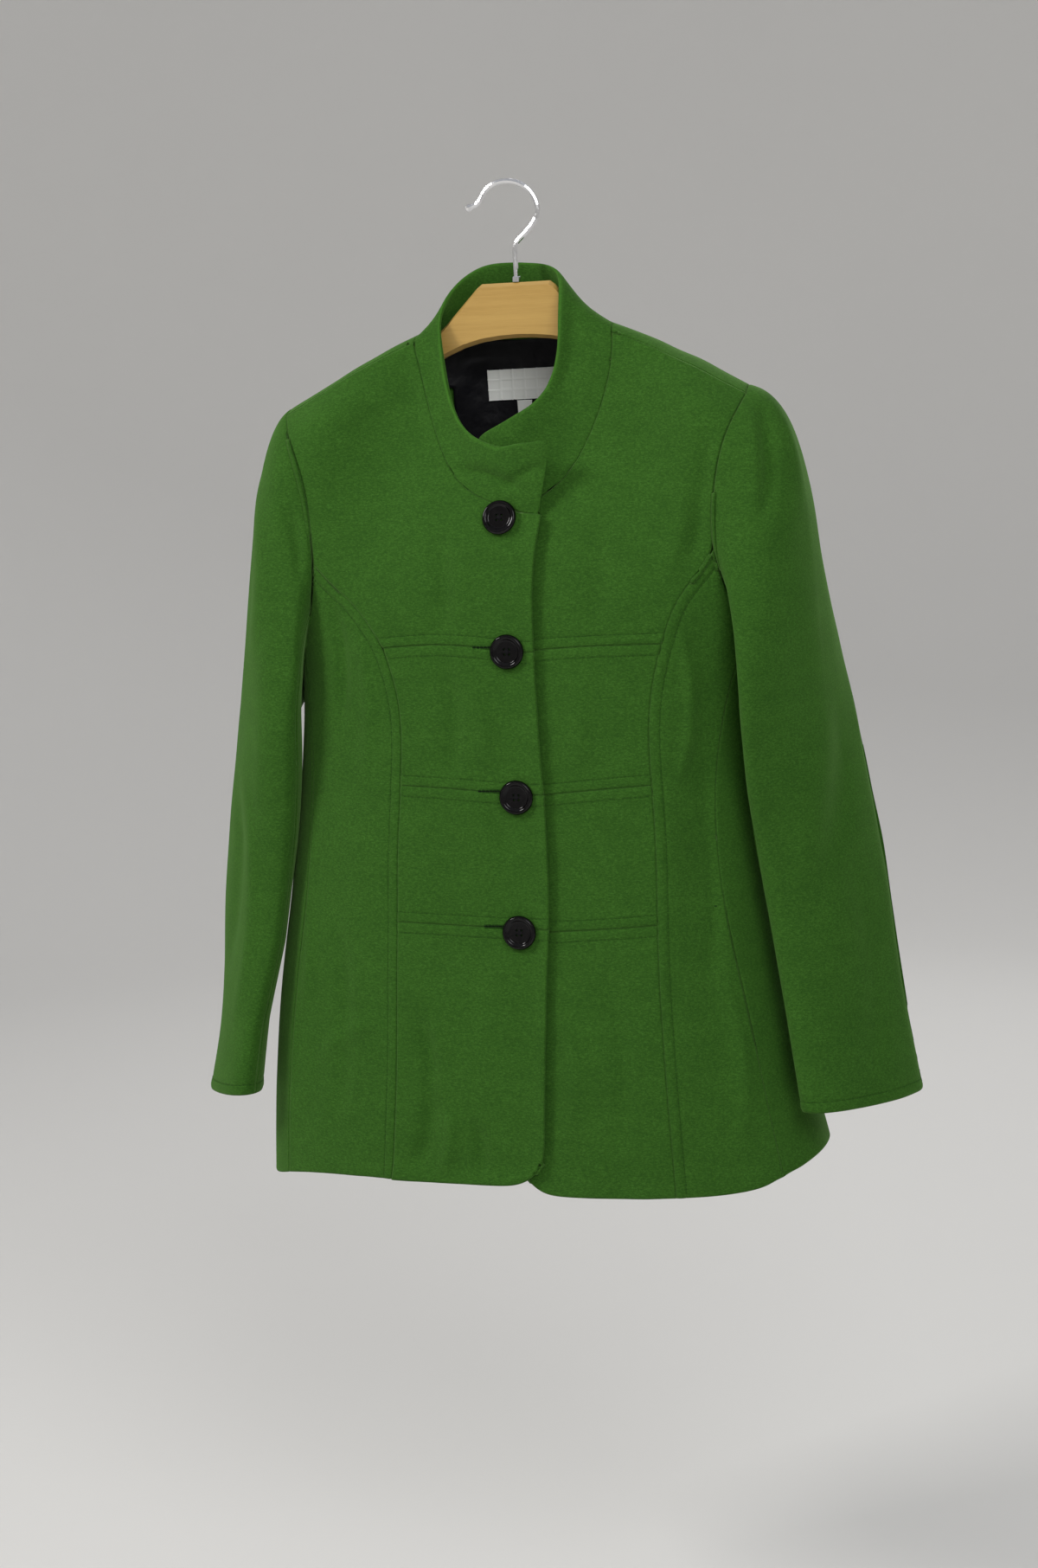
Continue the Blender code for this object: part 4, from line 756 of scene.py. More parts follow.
def new_group(name, kind, inputs, outputs):
    """A node group with named sockets, the sockets of its inputs and its closing node."""
    group = bpy.data.node_groups.new(name, kind)
    for way, rows in (("INPUT", inputs), ("OUTPUT", outputs)):
        for title, sort, default in rows:
            made = group.interface.new_socket(
                name=title, in_out=way, socket_type="NodeSocket" + sort)
            if default is not None:
                made.default_value = default
    return group, group.nodes.new("NodeGroupInput").outputs, group.nodes.new("NodeGroupOutput")


def feed(tree, node, **values):
    """Sets or links a node's inputs, named in_ and the input's own name or number."""
    for name, value in values.items():
        key = name.removeprefix("in_").replace("_", " ")
        slot = node.inputs[int(key) if key.isdigit() else key]
        if isinstance(value, bpy.types.NodeSocket):
            tree.links.new(value, slot)
        else:
            slot.default_value = value
    return node


def add(tree, kind, **values):
    """A node with its settings, and its inputs set or linked."""
    node = tree.nodes.new(kind)
    for name, value in values.items():
        if not name.startswith("in_"):
            setattr(node, name, value)
    return feed(tree, node, **{n: v for n, v in values.items() if n.startswith("in_")})


def plain_material(name, colour, roughness, metallic=0.0):
    """A Principled material with its tree, its shader and the piece's own coordinates."""
    mat = bpy.data.materials.new(name)
    mat.use_nodes = True
    tree = mat.node_tree
    shader = feed(tree, tree.nodes["Principled BSDF"], in_Base_Color=(*colour, 1),
                  in_Roughness=roughness, in_Metallic=metallic)
    mat.diffuse_color = (*colour, 1)
    return mat, tree, shader, add(tree, "ShaderNodeTexCoord").outputs["Object"]


def times(colour, share):
    """A colour made darker or paler."""
    return tuple(share * c for c in colour)


def reckon(tree, operation, *values):
    """The result of a Math node fed by links or numbers."""
    inputs = {"in_%d" % index: value for index, value in enumerate(values)}
    return add(tree, "ShaderNodeMath", operation=operation, **inputs).outputs[0]


def graded(tree, value, *ends, **more):
    """A value mapped from one range to another."""
    inputs = {"in_%d" % (index + 1): end for index, end in enumerate(ends)}
    return add(tree, "ShaderNodeMapRange", in_0=value, **inputs, **more).outputs[0]


def noise(tree, place, scale, detail, **more):
    """A noise at its own scale."""
    return add(tree, "ShaderNodeTexNoise", in_Vector=place, in_Scale=scale, in_Detail=detail,
               **more).outputs["Fac"]


def ribs(tree, place, direction, scale, distortion):
    """Fine ribs of woven threads."""
    return add(tree, "ShaderNodeTexWave", bands_direction=direction, in_Vector=place,
               in_Scale=scale, in_Distortion=distortion, in_Detail=2.0).outputs["Fac"]


def turned(tree, place, **how):
    """The piece's coordinates, turned or stretched."""
    return add(tree, "ShaderNodeMapping", in_Vector=place, **how).outputs[0]


def bump(tree, height, strength, distance, **more):
    """The normal of a surface with a height on it."""
    return add(tree, "ShaderNodeBump", in_Height=height, in_Strength=strength,
               in_Distance=distance, **more).outputs["Normal"]


def blend(tree, share, a, b):
    """One colour passing into another."""
    return add(tree, "ShaderNodeMix", data_type="RGBA", in_Factor=share, in_A=a,
               in_B=b).outputs["Result"]


def stored(tree, name):
    """A number that the mesh carries at each vertex."""
    return add(tree, "ShaderNodeAttribute", attribute_name=name).outputs["Fac"]


def ramp(tree, value, *stops):
    """Colours along a value, with stops of (place, colour)."""
    node = add(tree, "ShaderNodeValToRGB", in_Fac=value)
    elements = node.color_ramp.elements
    while len(elements) < len(stops):
        elements.new(0.5)
    for element, (place, colour) in zip(elements, stops):
        element.position = place
        element.color = (*colour, 1)
    return node.outputs["Color"]


def pile_group():
    """The milled pile: mottled fibres and a felted height, one group for all wool."""
    group, given, sink = new_group("milled_pile", "ShaderNodeTree", (
        ("Vector", "Vector", None), ("Main", "Color", (0.05, 0.15, 0.03, 1)),
        ("Pale", "Color", (0.1, 0.25, 0.05, 1)), ("Dark", "Color", (0.02, 0.07, 0.01, 1)),
    ), (("Color", "Color", None), ("Height", "Float", None)))
    milled = turned(group, given["Vector"], vector_type="POINT", in_Scale=(0.7, 1.0, 1.5))
    fibre = noise(group, milled, 1300.0, 2.0, in_Roughness=0.6)
    tuft = noise(group, milled, 520.0, 3.0, in_Roughness=0.6)
    patch = noise(group, milled, 38.0, 3.0, in_Roughness=0.6)
    speck = reckon(group, "MULTIPLY", fibre, 0.45)
    speck = reckon(group, "MULTIPLY_ADD", tuft, 0.55, speck)
    speck = reckon(group, "MULTIPLY_ADD", patch, 0.14, speck)
    dark = blend(group, graded(group, speck, 0.60, 0.47), given["Main"], given["Dark"])
    height = reckon(group, "MULTIPLY_ADD", tuft, 0.7, reckon(group, "MULTIPLY", fibre, 0.5))
    feed(group, sink, in_Height=height,
         in_Color=blend(group, graded(group, speck, 0.60, 0.74), dark, given["Pale"]))
    return group


def sewn_group():
    """The pull of a topstitched seam, from its distance: a groove, with painted shade in it and
    along the cut edges.
    """
    group, given, sink = new_group("sewn_seam", "ShaderNodeTree", (
        ("Edge gap", "Float", None), ("Stitch gap", "Float", None), ("Band", "Float", 8.6 * MM),
    ), (("Height", "Float", None), ("Shade", "Float", None)))
    off = reckon(group, "SUBTRACT", given["Stitch gap"], given["Band"])
    near = reckon(group, "DIVIDE", off, 0.9 * MM)
    square = reckon(group, "MULTIPLY", near, near)
    groove = reckon(group, "EXPONENT", reckon(group, "MULTIPLY", square, -1.0))
    edge = graded(group, given["Edge gap"], 0.1 * MM, 1.5 * MM, interpolation_type="SMOOTHSTEP")
    # painted shade in the stitch groove
    groove_shade = reckon(group, "MULTIPLY", groove, 0.09)
    # painted shade along the cut edge, where the seam's gap lies in shade
    rim = reckon(group, "MULTIPLY", reckon(group, "SUBTRACT", 1.0, edge), 0.10)
    feed(group, sink, in_Shade=reckon(group, "ADD", groove_shade, rim),
         in_Height=reckon(group, "ADD", reckon(group, "MULTIPLY", groove, -1.0), edge))
    return group


@functools.cache
def wool_material():
    """Melange melton: mottled pile, soft sheen, grooves along its stitched seams, painted shade in
    the grooves and at the cut edges, and a painted highlight on the collar's turned edge.
    """
    wool = settings_of("coat_cloth")
    mat, tree, shader, place = plain_material("melton", wool.colour, 0.92)
    pile = add(tree, "ShaderNodeGroup", node_tree=pile_group(), in_Vector=place,
               in_Main=(*wool.colour, 1), in_Pale=(*wool.pale_fibre, 1),
               in_Dark=(*wool.dark_fibre, 1)).outputs
    sewn = add(tree, "ShaderNodeGroup", node_tree=sewn_group(), in_Band=wool.seam_band,
               in_Edge_gap=stored(tree, "edge_gap"),
               in_Stitch_gap=stored(tree, "stitch_gap")).outputs
    # Painted shade: the seam's grooves and cut edges are darkened towards a deep green
    seam = blend(tree, sewn["Shade"], pile["Color"], (*times(wool.dark_fibre, 0.35), 1))
    # Painted highlight: the collar's turned edge is made paler where it would catch the light
    painted_rim_highlight = blend(tree, stored(tree, "rim"), seam, (*times(wool.colour, RIM_HIGHLIGHT_GAIN), 1))
    nap = bump(tree, pile["Height"], 0.75, wool.nap)
    feed(tree, shader, in_Base_Color=painted_rim_highlight, in_Specular_IOR_Level=0.08, in_Sheen_Weight=0.20,
         in_Sheen_Roughness=0.5, in_Sheen_Tint=(0.45, 0.85, 0.25, 1),
         in_Normal=bump(tree, sewn["Height"], 1.0, 0.28 * MM, in_Normal=nap))
    return mat


def lining_material(colour):
    """Black twill lining with faint ribs and a low shine."""
    mat, tree, shader, place = plain_material("black_lining", colour, 0.42)
    twill = turned(tree, place, in_Rotation=(0, math.radians(58), 0))
    rib = ribs(tree, twill, "X", 340.0, 0.6)
    fine = bump(tree, rib, 0.5, 0.08 * MM)
    crumple = bump(tree, noise(tree, place, 60.0, 3.0), 0.8, 2.2 * MM, in_Normal=fine)
    feed(tree, shader, in_Normal=crumple, in_Specular_IOR_Level=0.16,
         in_Base_Color=ramp(tree, rib, (0.3, colour), (0.8, times(colour, 2.2))))
    return mat


def label_material(colour):
    """Bare woven satin, with its fine cross weave."""
    mat, tree, shader, place = plain_material("bare_satin_label", colour, 0.38)
    weft = ribs(tree, place, "Z", 620.0, 0.8)
    weave = reckon(tree, "MULTIPLY", weft, ribs(tree, place, "X", 420.0, 0.8))
    feed(tree, shader, in_Normal=bump(tree, weave, 0.15, 0.06 * MM), in_Sheen_Weight=0.2,
         in_Base_Color=ramp(tree, weave, (0.0, times(colour, 0.96)), (0.9, colour)))
    return mat


def thread_material(name, colour):
    """Twisted polyester thread."""
    mat, tree, shader, place = plain_material(name, colour, 0.7)
    twist = noise(tree, place, 2600.0, 1.0)
    feed(tree, shader, in_Specular_IOR_Level=0.06, in_Normal=bump(tree, twist, 0.6, 0.05 * MM),
         in_Base_Color=ramp(tree, twist, (0.3, times(colour, 0.7)), (0.7, times(colour, 1.3))))
    return mat


def button_material(colour):
    """Glossy black plastic, with faint rubbing marks in its gloss."""
    mat, tree, shader, place = plain_material("glossy_black_button", colour, 0.09)
    rub = noise(tree, place, 260.0, 5.0, in_Roughness=0.7)
    feed(tree, shader, in_Roughness=graded(tree, rub, 0.45, 0.75, 0.05, 0.14),
         in_Base_Color=ramp(tree, rub, (0.3, colour), (0.8, times(colour, 1.8))),
         in_Specular_IOR_Level=0.24)
    return mat


def wood_material(colour):
    """Pale lacquered wood with its grain along the bar."""
    mat, tree, shader, place = plain_material("lacquered_wood", colour, 0.42)
    drawn = turned(tree, place, in_Scale=(2.2, 90.0, 90.0))
    figure = noise(tree, drawn, 2.4, 4.0, in_Distortion=0.6)
    pores = noise(tree, drawn, 26.0, 3.0, in_Roughness=0.65)
    grain = reckon(tree, "MULTIPLY_ADD", pores, 0.4, reckon(tree, "MULTIPLY", figure, 0.6))
    dark, pale = ([share * c for share, c in zip(shares, colour)]
                  for shares in ((0.84, 0.80, 0.70), (1.12, 1.14, 1.2)))
    feed(tree, shader, in_Base_Color=ramp(tree, grain, (0.30, dark), (0.50, colour), (0.72, pale)),
         in_Normal=bump(tree, pores, 0.35, 0.12 * MM), in_Coat_Weight=0.25,
         in_Coat_Roughness=0.25)
    return mat


def chrome_material():
    """Bright plated wire with fine drawing marks."""
    mat, tree, shader, place = plain_material("plated_wire", (0.84, 0.84, 0.85), 0.14, 1.0)
    marks = noise(tree, place, 700.0, 3.0)
    feed(tree, shader, in_Roughness=graded(tree, marks, 0.35, 0.75, 0.08, 0.26))
    return mat


def floor_material(colour):
    """Plain matt paint, very slightly uneven."""
    mat, tree, shader, place = plain_material("studio_floor", colour, 0.85)
    soft = noise(tree, place, 1.2, 2.0)
    feed(tree, shader,
         in_Base_Color=ramp(tree, soft, (0.3, times(colour, 0.985)), (0.7, colour)))
    return mat


# ---------------------------------------------------------------- cloth pieces

def settings_of(name):
    """The panel's settings of one kind."""
    return getattr(bpy.context.scene, name)


def make_panels(group):
    """The cut pieces of one group, each hung in place of its solid."""
    for piece in PIECES:
        if piece["group"] == group:
            obj = cloth_shell(piece, settings_of("coat_cloth"))
            dress(obj, [piece["node"]], "melton", wool_material())


def joined_collar():
    """Both layers of the collar as one skin turned over at its edge, its foot and its rim."""
    body = solid_tree(NECK_NODES)
    bm = bmesh.new()
    crease = bm.edges.layers.float.new("crease_edge")
    hard = bm.verts.layers.float.new("crease_vert")
    for node, shown in (("collar_outer", 0), ("collar_inner", 1)):
        verts, faces = two_sides(node, WALL["collar"])[shown]
        made = [bm.verts.new(v) for v in verts]
        for face in faces:
            bm.faces.new([made[i] for i in face])
    whole_quads(bm)
    rims = [e for e in bm.edges if e.is_boundary]
    feet = {v for e in rims for v in e.verts if body.find_nearest(v.co)[3] < COLLAR_FOOT_NEAR}
    sewn = [e for e in rims if set(e.verts) <= feet]
    bmesh.ops.bridge_loops(bm, edges=rims)
    for edge in sewn:
        edge[crease] = 1.0
    for v in feet:
        if sum(e in sewn for e in v.link_edges) == 1:
            v[hard] = 1.0
    bmesh.ops.recalc_face_normals(bm, faces=bm.faces[:])
    foot = [np.array([v.co for v in e.verts]) for e in sewn]
    rim = [np.array([v.co for v in e.verts]) for e in rims if e not in sewn]
    return smoothed(linked("collar_cloth", mesh_from("collar_cloth", bm)), 3), foot, rim


def make_collar():
    """The collar, softly creased where it stands and rolls."""
    obj, foot, rim = joined_collar()
    mesh = obj.data
    body = solid_tree(NECK_NODES)
    points, normals = places_of(mesh)
    gaps = np.array([body.find_nearest(Vector(p))[3] for p in points])
    free = (distance_to_lines(points, foot) - COLLAR_FOOT_STIFF) / COLLAR_FOOT_FADE
    relief = soft_relief(points, normals, "collar", np.clip(free, 0, 1))
    moved = points + normals * relief[:, None]
    moved += pulled(points, COLLAR_PULLS)
    for k in np.flatnonzero(gaps < SEAM_NEAR):
        near = np.array(body.find_nearest(Vector(moved[k]))[0])
        moved[k] += SEAM_PRESS * (near - moved[k])
    mesh.vertices.foreach_set("co", moved.ravel())
    mesh.update()
    mesh.shade_smooth()
    # A painted highlight along the collar's turned edge, which the wool makes paler
    rim_gap = distance_to_lines(points, rim) / RIM_HIGHLIGHT_WIDE
    # The gap to the body's cloth also sets the wool's painted shade along the neck seam
    store(mesh, "edge_gap", np.clip(gaps, 0, GAP_MOST) + SEAM_GAP)
    store(mesh, "stitch_gap", np.full(len(points), FAR_OFF))
    store(mesh, "rim", np.exp(-rim_gap * rim_gap))
    dress(obj, ["collar_outer", "collar_inner"], "melton", wool_material())


def inner_sheet(node, thick, fine):
    """The side of a thin piece that faces into the neck."""
    verts, faces = two_sides(node, thick)[1]
    return subdivided(node + "_cloth", verts, faces, fine)


def make_neck_inside():
    """The black lining behind the neck with its pleat, the bare label and the size tab."""
    hard = settings_of("coat_hard")
    lining = inner_sheet("back_neck_lining", WALL["lining"], 3)
    points, normals = places_of(lining.data)
    across = (points[:, 0] - PLEAT_ACROSS) / PLEAT_WIDE
    below = np.clip((-points[:, 2] - PLEAT_DROP) / PLEAT_FADE, 0, 1)
    fold = PLEAT_HIGH * np.exp(-across * across) * (1 - below)
    lining.data.vertices.foreach_set("co", (points + normals * fold[:, None]).ravel())
    lining.data.update()
    thicken(lining, WALL["lining"])
    dress(lining, ["back_neck_lining"], "lining", lining_material(hard.lining))
    satin = label_material(hard.label)
    for node, cut in (("label", LABEL_CUT), ("size_tab", TAB_CUT)):
        patch = inner_sheet(node, WALL["label"], 4)
        for v in patch.data.vertices:
            v.co += v.normal * LABEL_PROUD
        thicken(patch, WALL["label"])
        dress(patch, [node], "label", satin)


# ---------------------------------------------------------------- sewing

def stitch_tree():
    """Geometry nodes that sew stitches along the edges of a mesh."""
    tree, given, sink = new_group("topstitch", "GeometryNodeTree", (
        ("Geometry", "Geometry", None), ("Pitch", "Float", 3.3 * MM),
        ("Length", "Float", 2.3 * MM), ("Thickness", "Float", 0.5 * MM),
        ("Thread", "Material", None),
    ), (("Geometry", "Geometry", None),))
    curve = add(tree, "GeometryNodeMeshToCurve", in_Mesh=given["Geometry"]).outputs[0]
    spots = add(tree, "GeometryNodeCurveToPoints", mode="LENGTH", in_Curve=curve,
                in_Length=given["Pitch"]).outputs
    bead = add(tree, "GeometryNodeMeshUVSphere", in_Segments=8, in_Rings=6, in_Radius=0.5)
    size = add(tree, "ShaderNodeCombineXYZ", in_X=given["Thickness"], in_Y=given["Thickness"],
               in_Z=given["Length"]).outputs[0]
    aim = add(tree, "FunctionNodeAlignRotationToVector", axis="Z",
              in_Vector=spots["Tangent"]).outputs[0]
    stitches = add(tree, "GeometryNodeInstanceOnPoints", in_Points=spots["Points"],
                   in_Instance=bead.outputs["Mesh"], in_Rotation=aim, in_Scale=size)
    made = stitches.outputs[0]
    for kind in ("RealizeInstances", "SetShadeSmooth", "SetMaterial"):
        made = add(tree, "GeometryNode" + kind, in_Geometry=made).outputs[0]
    feed(tree, made.node, in_Material=given["Thread"])
    feed(tree, sink, in_Geometry=made)
    return tree


def make_topstitching():
    """The rows beside the seams and cuffs, as separate threads on the cloth."""
    sizes = settings_of("coat_stitching")
    thread = thread_material("dark_green_thread", sizes.colour)
    verts, edges = [], []
    for row in ROWS:
        edges += [(len(verts) + i, len(verts) + i + 1) for i in range(len(row) - 1)]
        verts += row
    obj = new_piece("topstitching", verts, (), edges)
    maker = obj.modifiers.new("sewing", "NODES")
    maker.node_group = stitch_tree()
    wanted = {"Pitch": sizes.pitch, "Length": sizes.length, "Thickness": sizes.thickness,
              "Thread": thread}
    for item in maker.node_group.interface.items_tree:
        if item.name in wanted:
            maker[item.identifier] = wanted[item.name]
    settle(applied(obj), "melton", thread)


def on_front(tree, x, drop):
    """The spot on the front of the coat at a place across and a drop, with its normal."""
    return tree.ray_cast(Vector((x * MM, -0.4, -drop * MM)), Vector((0, 1, 0)))[:2]


def add_rod(rods, a, b, radius, sides=8, flat=1.0, normal=Vector((0, -1, 0))):
    """Adds a short closed rod from a to b, with rounded ends, pressed flat if asked."""
    verts, faces = rods
    along = (b - a).normalized()
    wide = along.cross(normal).normalized()
    out = wide.cross(along).normalized()
    length = (b - a).length
    first = len(verts)
    for share, size in ROD_ENDS:
        centre = a + along * length * share
        for k in range(sides):
            turn = 2 * math.pi * k / sides
            verts.append(centre + wide * math.cos(turn) * radius * size
                         + out * math.sin(turn) * radius * size * flat)
    for r in range(len(ROD_ENDS) - 1):
        for k in range(sides):
            p, after = first + r * sides, (k + 1) % sides
            faces.append((p + k, p + after, p + sides + after, p + sides + k))
    last = len(verts) - sides
    faces.append([first + k for k in reversed(range(sides))])
    faces.append([last + k for k in range(sides)])


def rods_piece(name, rods, slot, material):
    """Rods of thread as one piece of the coat."""
    obj = new_piece(name, *rods)
    obj.data.shade_smooth()
    settle(obj, slot, material)


def make_buttonholes():
    """Strips of painted shade in the buttonholes of the overlapping front, their sewn lips, and
    bar tacks at the pocket mouths.
    """
    sizes = settings_of("coat_stitching")
    thread = thread_material("buttonhole_thread", times(sizes.colour, 0.8))
    lips, slit_shades = ([], []), ([], [])
    front = skin_of(["right_front_yoke", "right_front_upper_middle",
                     "right_front_lower_middle", "right_front_skirt"])
    for hole in BUTTONHOLES:
        steps = np.linspace(hole["x1"], hole["x2"], SLIT_STEPS)
        spots = [on_front(front, x, hole["drop"]) for x in steps]
        line = [s[0] + s[1] * THREAD_PROUD for s in spots if s[0] is not None]
        for a, b in zip(line[:-1], line[1:]):
            # A flattened dark rod stands in for the shade inside the buttonhole
            add_rod(slit_shades, a, b, SLIT_WIDE / 2, 6, 0.35)
        for off in (-1, 1):
            up = Vector((0, 0, off * LIP_OFF))
            for a, b in zip(line[:-1], line[1:]):
                add_rod(lips, a + up, b + up, LIP_RADIUS, 8, 0.7)
    fronts = skin_of(["left_side_front", "right_side_front"])
    for tack in POCKET_TACKS:
        side = 1 if tack["side"].startswith("left") else -1
        low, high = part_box(tack["side"])
        edge = Vector((high[0] if side > 0 else low[0], 0.0, -tack["drop"] * MM))
        place, normal = fronts.find_nearest(edge)[:2]
        a = place + normal * TACK_PROUD
        inward = Vector((-side, 0, 0)) - normal * (Vector((-side, 0, 0)) @ normal)
        end = fronts.find_nearest(a + inward.normalized() * TACK_LONG)
        add_rod(lips, a, end[0] + end[1] * TACK_PROUD, TACK_RADIUS, 10, 0.6, normal)
    rods_piece("buttonhole_stitches", lips, "melton", thread)
    rods_piece("buttonhole_slit_shades", slit_shades, "melton",
               thread_material("slit_shadow", (0.004, 0.010, 0.003)))


def lathe_button():
    """A turned dished button of unit axis +Z with rounded rims, its holes still to cut."""
    radius = [row["radius"] for row in BUTTON_PROFILE]
    height = [row["height"] for row in BUTTON_PROFILE]
    lengths = np.r_[0, np.cumsum(np.hypot(np.diff(radius), np.diff(height)))]
    dense = np.linspace(0, lengths[-1], BUTTON_RINGS)
    rounded = []
    for place in dense:
        near = np.exp(-((lengths[-1] * BUTTON_GRID - place) / BUTTON_SOFT) ** 2)
        line = [np.interp(lengths[-1] * BUTTON_GRID, lengths, side) for side in (radius, height)]
        rounded.append([float((near * side).sum() / near.sum()) for side in line])
    rounded[0][0] = rounded[-1][0] = 0.0
    bm = bmesh.new()
    profile = [bm.verts.new((r * MM, 0, h * MM)) for r, h in rounded]
    edges = [bm.edges.new(pair) for pair in zip(profile[:-1], profile[1:])]
    bmesh.ops.spin(bm, geom=profile + edges, axis=(0, 0, 1), cent=(0, 0, 0),
                   steps=BUTTON_SIDES, angle=2 * math.pi, use_duplicate=False)
    bmesh.ops.remove_doubles(bm, verts=bm.verts[:], dist=0.002 * MM)
    bmesh.ops.recalc_face_normals(bm, faces=bm.faces[:])
    return mesh_from("turned_button", bm)


def hole_rods():
    """Four round rods where the thread holes go."""
    bm = bmesh.new()
    for sx in (-1, 1):
        for sy in (-1, 1):
            made = bmesh.ops.create_cone(bm, cap_ends=True, segments=20, depth=12 * MM,
                                         radius1=HOLE_RADIUS, radius2=HOLE_RADIUS)
            bmesh.ops.translate(bm, verts=made["verts"],
                                vec=(sx * HOLE_OFF, sy * HOLE_OFF, 0))
    return mesh_from("hole_rods", bm)


def bored_button():
    """The turned button with its four holes cut through, as one mesh."""
    blank = linked("button_blank", lathe_button())
    rods = linked("button_rods", hole_rods())
    cut = blank.modifiers.new("holes", "BOOLEAN")
    cut.operation = "DIFFERENCE"
    cut.object = rods
    applied(blank)
    mesh = blank.data
    bpy.data.objects.remove(rods)
    bpy.data.objects.remove(blank)
    return mesh


def seat_of(node):
    """Where a packed button sits: its back's middle and the turn that faces it outward."""
    points = np.array([v.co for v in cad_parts[node].data.vertices])
    middle = points.mean(0)
    axis = np.linalg.svd(points - middle)[2][2]
    axis = Vector(axis if axis[1] < 0 else -axis)
    deep = ((points - middle) @ np.array(axis)).min()
    turn = axis.to_track_quat("Z", "X").to_matrix().to_4x4()
    return Matrix.Translation(Vector(middle) + axis * float(deep)) @ turn


def make_buttons():
    """Glossy dished buttons, each sewn on with a crossed thread through its four holes."""
    hard = settings_of("coat_hard")
    plastic = button_material(hard.button)
    thread = thread_material("black_thread", (0.010, 0.010, 0.011))
    pattern = bored_button()
    rods = ([], [])
    for node in BUTTON_NODES:
        seat = seat_of(node)
        mesh = pattern.copy()
        mesh.transform(seat)
        mesh.shade_smooth()
        mesh.set_sharp_from_angle(angle=math.radians(BUTTON_SHARP))
        settle(linked(node + "_gloss", mesh), "button", plastic, node)
        out = seat.to_3x3() @ Vector((0, 0, 1))
        for way in (-1, 1):
            a = seat @ Vector((HOLE_OFF, way * HOLE_OFF, DISH_FLOOR))
            b = seat @ Vector((-HOLE_OFF, -way * HOLE_OFF, DISH_FLOOR))
            for off in (-THREAD_OFF, THREAD_OFF):
                shift = out.cross(b - a).normalized() * off
                add_rod(rods, a + shift, b + shift, THREAD_RADIUS, normal=out)
    rods_piece("button_threads", rods, "button", thread)


def make_hanger():
    """Lacquered wood for the bar, bright plating for the ferrule and hook."""
    steel = chrome_material()
    repaint(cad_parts["hanger_bar"], wood_material(settings_of("coat_hard").wood))
    repaint(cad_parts["ferrule"], steel)
    repaint(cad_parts["hook"], steel)


# ---------------------------------------------------------------- stage

def make_bowl(colour):
    """A round floor that turns up into a pale wall, well outside the views."""
    flat = BOWL_RADIUS - BOWL_TURN
    profile = [(FLOOR_FLAT, 0.0), (flat, 0.0)]
    for i in range(1, BOWL_STEPS + 1):
        turn = math.radians(90 * i / BOWL_STEPS)
        profile.append((flat + BOWL_TURN * math.sin(turn), BOWL_TURN * (1 - math.cos(turn))))
    profile.append((BOWL_RADIUS, BOWL_HIGH))
    verts = [(0, 0, FLOOR_LEVEL)]
    for radius, high in profile:
        for k in range(BOWL_SIDES):
            turn = 2 * math.pi * k / BOWL_SIDES
            verts.append((radius * math.cos(turn), radius * math.sin(turn), FLOOR_LEVEL + high))
    faces = [(0, 1 + k, 1 + (k + 1) % BOWL_SIDES) for k in range(BOWL_SIDES)]
    for r in range(len(profile) - 1):
        for k in range(BOWL_SIDES):
            a = 1 + r * BOWL_SIDES
            b = a + BOWL_SIDES
            after = (k + 1) % BOWL_SIDES
            faces.append((a + k, b + k, b + after, a + after))
    floor = new_piece("studio_bowl", verts, faces)
    floor.data.shade_smooth()
    repaint(floor, floor_material(colour))


def area_light(name, place, size, power, colour=(1, 1, 1)):
    """A soft square light that looks at the coat."""
    light = bpy.data.lights.new(name, "AREA")
    light.shape = "SQUARE"
    light.size = size
    light.energy = power
    light.color = colour
    aim = (Vector(LIT_HEART) - Vector(place)).to_track_quat("-Z", "Y")
    lamp = linked(name, light)
    lamp.matrix_world = Matrix.Translation(place) @ aim.to_matrix().to_4x4()


def make_camera():
    """The photograph's own view of the coat."""
    azimuth = math.radians(CAMERA_AZIMUTH)
    rise = math.radians(CAMERA_ELEVATION)
    roll = math.radians(CAMERA_ROLL)
    back = Vector((math.sin(azimuth) * math.cos(rise), -math.cos(azimuth) * math.cos(rise),
                   math.sin(rise)))
    level = Vector((math.cos(azimuth), math.sin(azimuth), 0))
    upright = level.cross(-back)
    right = level * math.cos(roll) + upright * math.sin(roll)
    up = upright * math.cos(roll) - level * math.sin(roll)
    offset = (CROWN_PIXEL[0] - PHOTO_WIDE / 2, PHOTO_HIGH / 2 - CROWN_PIXEL[1])
    crown = right * offset[0] + up * offset[1] - back * FOCAL_PIXELS
    place = -crown * CAMERA_DEPTH / FOCAL_PIXELS
    lens = bpy.data.cameras.new("camera")
    lens.sensor_width = SENSOR
    lens.sensor_fit = "AUTO"
    lens.lens = FOCAL_PIXELS * SENSOR / PHOTO_HIGH
    lens.clip_end = 60
    obj = linked("camera", lens)
    turn = Matrix((right, up, back)).transposed().to_4x4()
    obj.matrix_world = Matrix.Translation(place) @ turn
    bpy.context.scene.camera = obj


def make_stage():
    """The floor, the lights, the pale surroundings and the camera."""
    settings = settings_of("coat_stage")
    make_camera()
    make_bowl(settings.floor)
    area_light("key_light", (-1.9, -1.5, 1.35), 0.7, settings.key, (1.0, 0.985, 0.96))
    area_light("fill_light", (1.3, -2.2, 1.2), 1.4, settings.fill, (0.98, 0.99, 1.0))
    area_light("back_light", (0.4, 2.6, 1.2), 2.0, 0.8 * settings.fill)
    world = bpy.data.worlds.new("pale_room")
    bpy.context.scene.world = world
    world.use_nodes = True
    feed(world.node_tree, world.node_tree.nodes["Background"],
         in_Color=(0.93, 0.95, 1.0, 1), in_Strength=0.42)
    bpy.context.scene.view_settings.view_transform = "Standard"


# ---------------------------------------------------------------- panel

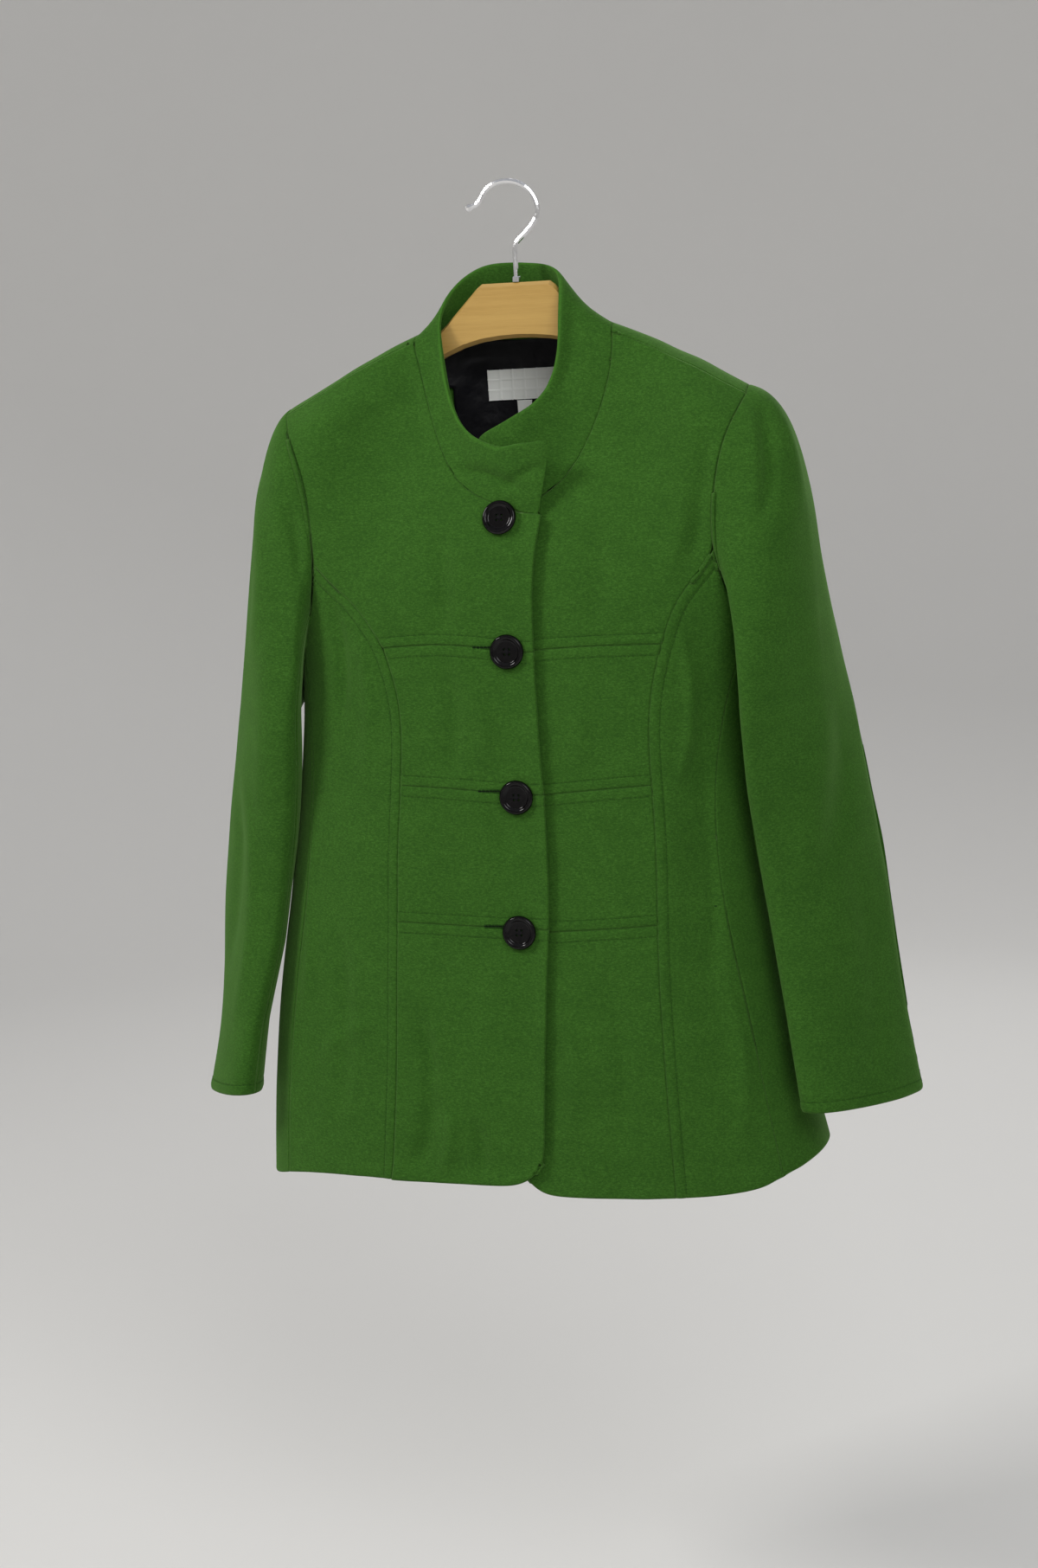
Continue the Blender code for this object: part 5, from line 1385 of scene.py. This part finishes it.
class COAT_OT_body(bpy.types.Operator):
    """Make the fronts, side fronts and backs of woollen cloth"""
    bl_idname = "coat.body"
    bl_label = "Body panels"

    def execute(self, context):
        make_panels("body")
        return {"FINISHED"}


class COAT_OT_sleeves(bpy.types.Operator):
    """Make the two halves of each sleeve"""
    bl_idname = "coat.sleeves"
    bl_label = "Sleeves"

    def execute(self, context):
        make_panels("sleeve")
        return {"FINISHED"}


class COAT_OT_collar(bpy.types.Operator):
    """Make the collar as one turned piece"""
    bl_idname = "coat.collar"
    bl_label = "Collar"

    def execute(self, context):
        make_collar()
        return {"FINISHED"}


class COAT_OT_neck(bpy.types.Operator):
    """Make the lining behind the neck, its label and its size tab"""
    bl_idname = "coat.neck"
    bl_label = "Inside of the neck"

    def execute(self, context):
        make_neck_inside()
        return {"FINISHED"}


class COAT_OT_topstitching(bpy.types.Operator):
    """Sew the rows of stitches beside the seams and cuffs"""
    bl_idname = "coat.topstitching"
    bl_label = "Topstitching"

    def execute(self, context):
        make_topstitching()
        return {"FINISHED"}


class COAT_OT_buttonholes(bpy.types.Operator):
    """Sew the buttonholes and the bar tacks of the pockets"""
    bl_idname = "coat.buttonholes"
    bl_label = "Buttonholes"

    def execute(self, context):
        make_buttonholes()
        return {"FINISHED"}


class COAT_OT_buttons(bpy.types.Operator):
    """Finish the buttons and sew them on"""
    bl_idname = "coat.buttons"
    bl_label = "Buttons"

    def execute(self, context):
        make_buttons()
        return {"FINISHED"}


class COAT_OT_hanger(bpy.types.Operator):
    """Finish the wooden bar, the ferrule and the hook"""
    bl_idname = "coat.hanger"
    bl_label = "Hanger"

    def execute(self, context):
        make_hanger()
        return {"FINISHED"}


class COAT_OT_stage(bpy.types.Operator):
    """Set up the camera, the floor and the lights"""
    bl_idname = "coat.stage"
    bl_label = "Stage"

    def execute(self, context):
        make_stage()
        return {"FINISHED"}


STEPS = (COAT_OT_stage, COAT_OT_body, COAT_OT_sleeves, COAT_OT_collar, COAT_OT_neck,
         COAT_OT_topstitching, COAT_OT_buttonholes, COAT_OT_buttons, COAT_OT_hanger)
SETTINGS = (("coat_cloth", CoatCloth), ("coat_stitching", CoatStitching),
            ("coat_hard", CoatHard), ("coat_stage", CoatStage))


class COAT_PT_panel(bpy.types.Panel):
    """The coat's settings and steps"""
    bl_idname = "COAT_PT_panel"
    bl_label = "Woollen coat"
    bl_space_type = "VIEW_3D"
    bl_region_type = "UI"
    bl_category = "Coat"

    def draw(self, context):
        for name, kind in SETTINGS:
            box = self.layout.box()
            for field in kind.__annotations__:
                box.prop(getattr(context.scene, name), field)
        for step in STEPS:
            self.layout.operator(step.bl_idname)


def register():
    for name, kind in SETTINGS:
        bpy.utils.register_class(kind)
        setattr(bpy.types.Scene, name, PointerProperty(type=kind))
    for kind in (*STEPS, COAT_PT_panel):
        bpy.utils.register_class(kind)


def unregister():
    for kind in (COAT_PT_panel, *reversed(STEPS)):
        bpy.utils.unregister_class(kind)
    for name, kind in reversed(SETTINGS):
        delattr(bpy.types.Scene, name)
        bpy.utils.unregister_class(kind)


def main():
    register()
    for step in STEPS:
        group, name = step.bl_idname.split(".")
        getattr(getattr(bpy.ops, group), name)()


if __name__ == "__main__":
    main()
